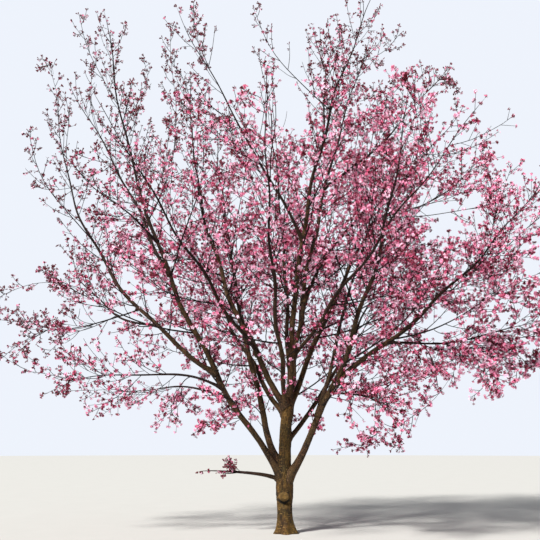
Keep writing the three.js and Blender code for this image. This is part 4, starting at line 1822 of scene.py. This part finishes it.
class Bench:
    """Adds nodes to one tree and joins them."""

    def __init__(self, tree: bpy.types.NodeTree) -> None:
        """Takes an emptied tree."""
        self.tree = tree
        tree.nodes.clear()

    @classmethod
    def of_material(cls, name: str) -> tuple[bpy.types.Material, Self]:
        """A new material, and the bench for its nodes."""
        made = bpy.data.materials.new(name)
        made.use_nodes = True
        return made, cls(made.node_tree)

    def add(self, kind: str, inputs: dict | None = None, **settings) -> bpy.types.Node:
        """Adds a node.

        Args:
            kind: Blender's name for it.
            inputs: A value or a socket for each input, by name or number.
            settings: The node's own properties.

        Returns:
            The node.
        """
        node = self.tree.nodes.new(kind)
        for name, value in settings.items():
            setattr(node, name, value)
        for key, value in (inputs or {}).items():
            if isinstance(value, Socket):
                self.tree.links.new(value, node.inputs[key])
            else:
                node.inputs[key].default_value = value
        return node

    def math(self, operation: str, a: Input, b: Input = 0.0, c: Input = 0.0) -> Socket:
        """One step of arithmetic."""
        return self.add("ShaderNodeMath", {0: a, 1: b, 2: c}, operation=operation).outputs[0]

    def mix(self, factor: Input, a: Input, b: Input) -> Socket:
        """A colour between two."""
        return self.add("ShaderNodeMix", {0: factor, 6: a, 7: b}, data_type="RGBA").outputs[2]

    def ramp(self, value: Input, low: float, high: float) -> Socket:
        """0 below low, 1 above high and a smooth step between; the other way round if low is higher."""
        ends = {"Value": value, "From Min": min(low, high), "From Max": max(low, high),
                "To Min": float(low > high), "To Max": float(low < high)}
        return self.add("ShaderNodeMapRange", ends, interpolation_type="SMOOTHSTEP").outputs[0]

    def noise(self, place: Input, scale: float, detail: float,
              stretch: float = 1, rough: float = 0.6) -> Socket:
        """Noise on a place whose third coordinate is stretched first."""
        stretched = self.add("ShaderNodeVectorMath", {0: place, 1: (1, 1, stretch)}, operation="MULTIPLY")
        inputs = {"Vector": stretched.outputs[0], "Scale": scale, "Detail": detail, "Roughness": rough}
        return self.add("ShaderNodeTexNoise", inputs).outputs[0]

    def finish(self, inputs: dict) -> None:
        """Ends the tree in the plain shader of a surface."""
        shader = self.add("ShaderNodeBsdfPrincipled", inputs)
        self.add("ShaderNodeOutputMaterial", {0: shader.outputs[0]})


@dataclass(frozen=True)
class BarkPattern:
    """What all bark shares: patches, upright cracks, level pores and algae."""

    # Scale, detail and stretch of each noise, and the values between which it sets in
    patches: Triple = (9, 5, 0.6)
    patch_edge: Pair = (0.34, 0.66)
    cracks: Triple = (46, 4, 0.17)
    crack_edge: Pair = (0.05, 0.0)
    pores: Triple = (19, 2, 5)
    pore_edge: Pair = (0.57, 0.66)
    algae: Triple = (5, 3, 0.5)
    algae_edge: Pair = (0.38, 0.62)
    pore_colour: float = 0.7
    crack_colour: float = 0.75
    patch_height: float = 0.6
    pore_height: float = 0.3
    crack_depth: float = 0.5
    roughness: Pair = (0.22, 0.66)
    inputs: tuple[tuple[str, str], ...] = (
        ("Grain", "Vector"), ("Dark", "Color"), ("Middle", "Color"), ("Light", "Color"),
        ("Algae", "Color"), ("Algae Share", "Float"), ("Fineness", "Float"))
    outputs: tuple[tuple[str, str], ...] = (("Color", "Color"), ("Height", "Float"), ("Roughness", "Float"))

    def group(self) -> bpy.types.NodeTree:
        """The shader node group.

        Cracks are where one noise is close to its middle value, and pores are the peaks of another.

        Returns:
            The group, which gives the bark's colour, height and roughness.
        """
        group = bpy.data.node_groups.new("bark_pattern", "ShaderNodeTree")
        for way, sockets in (("INPUT", self.inputs), ("OUTPUT", self.outputs)):
            for name, kind in sockets:
                group.interface.new_socket(name, in_out=way, socket_type=f"NodeSocket{kind}")
        bench = Bench(group)
        given = bench.add("NodeGroupInput").outputs
        place = bench.add("ShaderNodeVectorMath", {0: given["Grain"], 3: given["Fineness"]},
                          operation="SCALE").outputs[0]
        patches, cracks, pores, algae = (
            bench.noise(place, *noise) for noise in (self.patches, self.cracks, self.pores, self.algae))
        off_middle = bench.math("ABSOLUTE", bench.math("SUBTRACT", cracks, 0.5))
        cracks = bench.ramp(off_middle, *self.crack_edge)
        pores = bench.ramp(pores, *self.pore_edge)
        algae = bench.math("MULTIPLY", bench.ramp(algae, *self.algae_edge), given["Algae Share"])
        colour = bench.mix(bench.ramp(patches, *self.patch_edge), given["Dark"], given["Middle"])
        colour = bench.mix(bench.math("MULTIPLY", pores, self.pore_colour), colour, given["Light"])
        colour = bench.mix(algae, colour, given["Algae"])
        colour = bench.mix(bench.math("MULTIPLY", cracks, self.crack_colour), colour, given["Dark"])
        pore_height = bench.math("MULTIPLY", pores, self.pore_height)
        height = bench.math("MULTIPLY_ADD", patches, self.patch_height, pore_height)
        height = bench.math("SUBTRACT", height, bench.math("MULTIPLY", cracks, self.crack_depth))
        rough = bench.math("MULTIPLY_ADD", patches, *self.roughness)
        bench.add("NodeGroupOutput", {"Color": colour, "Height": height, "Roughness": rough})
        return group


@dataclass(frozen=True)
class BarkFinish:
    """Bark, from its darkest cracks to its pale pores, as 8-bit display colours."""

    name: str
    dark: Colour
    middle: Colour
    light: Colour
    algae: Colour
    algae_share: float
    # The dark mark's colour: painted shadow round the trunk's knob, young bark on the limbs
    shade: Colour
    fineness: float
    depth: float
    scar_strength: float = 0.2
    shade_strength: float = 0.96
    bump_strength: float = 0.8
    gloss: float = 0.3

    def material(self, pattern: bpy.types.NodeTree) -> bpy.types.Material:
        """Makes the material.

        Args:
            pattern: The bark's node group.

        Returns:
            A material that reads the piece's grain, dark mark and scar.
        """
        made, bench = Bench.of_material(self.name)
        grain = bench.add("ShaderNodeAttribute", attribute_name="grain").outputs["Vector"]
        shade, scar = (bench.add("ShaderNodeAttribute", attribute_name=mark).outputs["Fac"]
                       for mark in ("shade", "scar"))
        bark = bench.add("ShaderNodeGroup", {
            "Grain": grain, "Dark": linear(self.dark), "Middle": linear(self.middle),
            "Light": linear(self.light), "Algae": linear(self.algae), "Algae Share": self.algae_share,
            "Fineness": self.fineness}, node_tree=pattern)
        scarred = bench.math("MULTIPLY", scar, self.scar_strength)
        # The dark mark mixes in that colour: painted shadow on the trunk, young bark on the limbs
        darkening = bench.math("MULTIPLY", shade, self.shade_strength)
        colour = bench.mix(scarred, bark.outputs["Color"], linear(self.light))
        bump = bench.add("ShaderNodeBump", {"Height": bark.outputs["Height"], "Distance": self.depth,
                                            "Strength": self.bump_strength})
        bench.finish({"Base Color": bench.mix(darkening, colour, linear(self.shade)),
                      "Roughness": bark.outputs["Roughness"], "Normal": bump.outputs[0],
                      "Specular IOR Level": self.gloss})
        return made


@dataclass(frozen=True)
class PetalFinish:
    """Petals, buds, stalks or leaves: one plain colour with a fine crumple and soft sheen."""

    name: str
    colour: Colour
    roughness: float = 0.55
    roughness_span: float = 0.2
    sheen: float = 0.06
    gloss: float = 0.3
    crumple: float = 0.0015
    crumple_strength: float = 0.5
    crumple_noise: Pair = (190, 2)

    def material(self) -> bpy.types.Material:
        """Makes the material, whose crumple and roughness are noises on Object coordinates."""
        made, bench = Bench.of_material(self.name)
        place = bench.add("ShaderNodeTexCoord").outputs["Object"]
        folds = bench.noise(place, *self.crumple_noise)
        bump = bench.add("ShaderNodeBump", {"Height": folds, "Distance": self.crumple,
                                            "Strength": self.crumple_strength})
        least = self.roughness - self.roughness_span / 2
        rough = bench.math("MULTIPLY_ADD", folds, self.roughness_span, least)
        bench.finish({"Base Color": linear(self.colour), "Roughness": rough, "Normal": bump.outputs[0],
                      "Sheen Weight": self.sheen, "Specular IOR Level": self.gloss})
        return made


# Studio


@dataclass(frozen=True)
class Studio:
    """The pale floor, the soft light and the camera at the viewer's place."""

    tilt: float = 14
    focal: float = 700
    image: float = 540
    floor_radius: float = 90
    floor_sides: int = 96
    floor_roughness: float = 0.9
    mottle: Pair = (1.5, 3)
    mottle_depth: int = 6
    sky: Colour = (233, 238, 247)
    ground: Colour = (198, 198, 195)
    sky_strength: float = 0.36
    backdrop_strength: float = 1.05
    sun_strength: float = 6.1
    sun_angle: float = 8
    sun_colour: Triple = (1.0, 0.97, 0.92)
    sun_from: Triple = (-0.55, -0.62, 0.75)

    def camera(self) -> None:
        """Sets the camera at eye height in front of the tree, looking up a little."""
        data = bpy.data.cameras.new("camera")
        data.lens = data.sensor_width * self.focal / self.image
        made = placed("camera", data)
        made.location = EYE
        made.rotation_euler = (math.radians(90 + self.tilt), 0, 0)
        bpy.context.scene.camera = made

    def floor(self) -> None:
        """Lays a round floor with faint mottling."""
        angle = turns(self.floor_sides)
        ring = np.stack([np.cos(angle), np.sin(angle), np.zeros(len(angle))], -1) * self.floor_radius
        rim = np.arange(1, len(angle) + 1)
        faces = np.stack([0 * rim, rim, np.roll(rim, -1)], -1)
        mesh = bpy.data.meshes.new("floor")
        mesh.from_pydata(np.concatenate([np.zeros((1, 3)), ring]).tolist(), [], faces.tolist())
        material, bench = Bench.of_material("floor")
        place = bench.add("ShaderNodeTexCoord").outputs["Object"]
        mottle = bench.noise(place, *self.mottle)
        darker = linear(tuple(c - self.mottle_depth for c in self.ground))
        bench.finish({"Base Color": bench.mix(mottle, darker, linear(self.ground)),
                      "Roughness": self.floor_roughness})
        mesh.materials.append(material)
        made = placed("floor", mesh)

    def lights(self) -> None:
        """Lights the tree with an even pale sky and a broad soft sun from the front left."""
        world = bpy.data.worlds.new("sky")
        world.use_nodes = True
        bench = Bench(world.node_tree)
        seen = bench.add("ShaderNodeLightPath").outputs["Is Camera Ray"]
        strength = bench.math("MULTIPLY_ADD", seen, self.backdrop_strength - self.sky_strength,
                              self.sky_strength)
        sky = bench.add("ShaderNodeBackground", {"Color": linear(self.sky), "Strength": strength})
        bench.add("ShaderNodeOutputWorld", {0: sky.outputs[0]})
        bpy.context.scene.world = world
        data = bpy.data.lights.new("sun", "SUN")
        data.energy = self.sun_strength
        data.angle = math.radians(self.sun_angle)
        data.color = self.sun_colour
        x, y, z = self.sun_from
        placed("sun", data).rotation_euler = (math.atan2(math.hypot(x, y), z), 0, math.atan2(x, -y))

    def set_up(self) -> None:
        """Sets up everything that isn't part of the tree."""
        self.camera()
        self.floor()
        self.lights()
        bpy.context.scene.view_settings.view_transform = "Standard"


@dataclass(frozen=True)
class Cherry:
    """The whole tree: its parts, their finishes and the pieces that they make."""

    # The trunk's near-black last colour is painted shadow under and round its knob
    trunk_finish: BarkFinish = BarkFinish(
        "trunk_bark", (26, 14, 4), (98, 68, 28), (162, 128, 76), (102, 84, 30), 0.35, (8, 5, 3), 0.8, 0.02)
    limb_finish: BarkFinish = BarkFinish(
        "limb_bark", (26, 13, 6), (92, 64, 38), (146, 116, 84), (92, 78, 38), 0.3, (36, 16, 16), 1.4, 0.01)
    twig_finish: BarkFinish = BarkFinish(
        "twig_bark", (8, 3, 3), (28, 11, 10), (58, 32, 28), (36, 20, 14), 0.2, (36, 16, 16), 4, 0.002)
    stalk_finish: PetalFinish = PetalFinish("stalk_red", (84, 22, 30))
    bud_finish: PetalFinish = PetalFinish("bud_rose", (106, 14, 38), 0.45)
    leaf_finish: PetalFinish = PetalFinish("young_leaf", (120, 50, 32), 0.5)
    branch_sides: int = 6
    twig_sides: int = 4
    shoot_sides: int = 3
    # Where blossom starts on twigs, shoots, limb ends and branch ends
    bloom_starts: tuple[float, ...] = (0.35, 0.12, 0.2, 0.1)

    def build(self) -> None:
        """Builds and dresses every piece in order."""
        boughs = [f"{plan.name}_bough" for plan in PLANS]
        masses = [f"{plan.name}_blossom" for plan in PLANS]
        pattern = BarkPattern().group()
        trunk, crown = Trunk(), Crown()
        limbs = Limbs(trunk)
        branches = Branches(limbs, crown).grow()
        growth = Twigs(limbs, crown, branches)
        twigs = growth.grow()
        ends = [growth.limb_ends(), growth.branch_ends()]
        shoots = Shoots(crown).grow(Lines.joined([twigs, *ends]))
        LOG.info("%d branches, %d twigs, %d shoots", *(len(x.foot) for x in (branches, twigs, shoots)))
        trunk.surface().piece("trunk_wood", Slot.TRUNK, self.trunk_finish.material(pattern), ["trunk"])
        limbs.surface().piece("bough_wood", Slot.BOUGH, self.limb_finish.material(pattern), boughs)
        bark = self.twig_finish.material(pattern)
        for name, lines, sides in (("branch_wood", branches, self.branch_sides),
                                   ("twig_wood", twigs, self.twig_sides),
                                   ("shoot_wood", shoots, self.shoot_sides)):
            lines.wood(sides).piece(name, Slot.BOUGH, bark, masses)
        blossom = Blossom(crown, NearLimbs(limbs))
        clusters = blossom.clusters([twigs, shoots, *ends], self.bloom_starts)
        LOG.info("%d clusters", len(clusters.full))
        petals, stalks = blossom.flowers(clusters)
        pieces = [(name := f"petals_{tint.name.lower()}", surface, PetalFinish(name, tint.value))
                  for tint, surface in petals.items()]
        pieces += [("flower_stalks", stalks, self.stalk_finish),
                   ("flower_buds", blossom.buds(clusters), self.bud_finish),
                   ("young_leaves", blossom.leaves(clusters), self.leaf_finish)]
        for name, surface, finish in pieces:
            surface.piece(name, Slot.BLOSSOM, finish.material(), masses)


def corners(bounds: tuple) -> list[list[float]]:
    """Two corners as plain lists."""
    return [[float(x) for x in corner] for corner in bounds]


def main() -> None:
    """Sets up the studio and builds the tree."""
    logging.basicConfig(level=logging.INFO, format="%(name)s: %(message)s")
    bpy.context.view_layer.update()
    Studio().set_up()
    Cherry().build()
    bpy.context.view_layer.update()


if __name__ == "__main__":
    main()
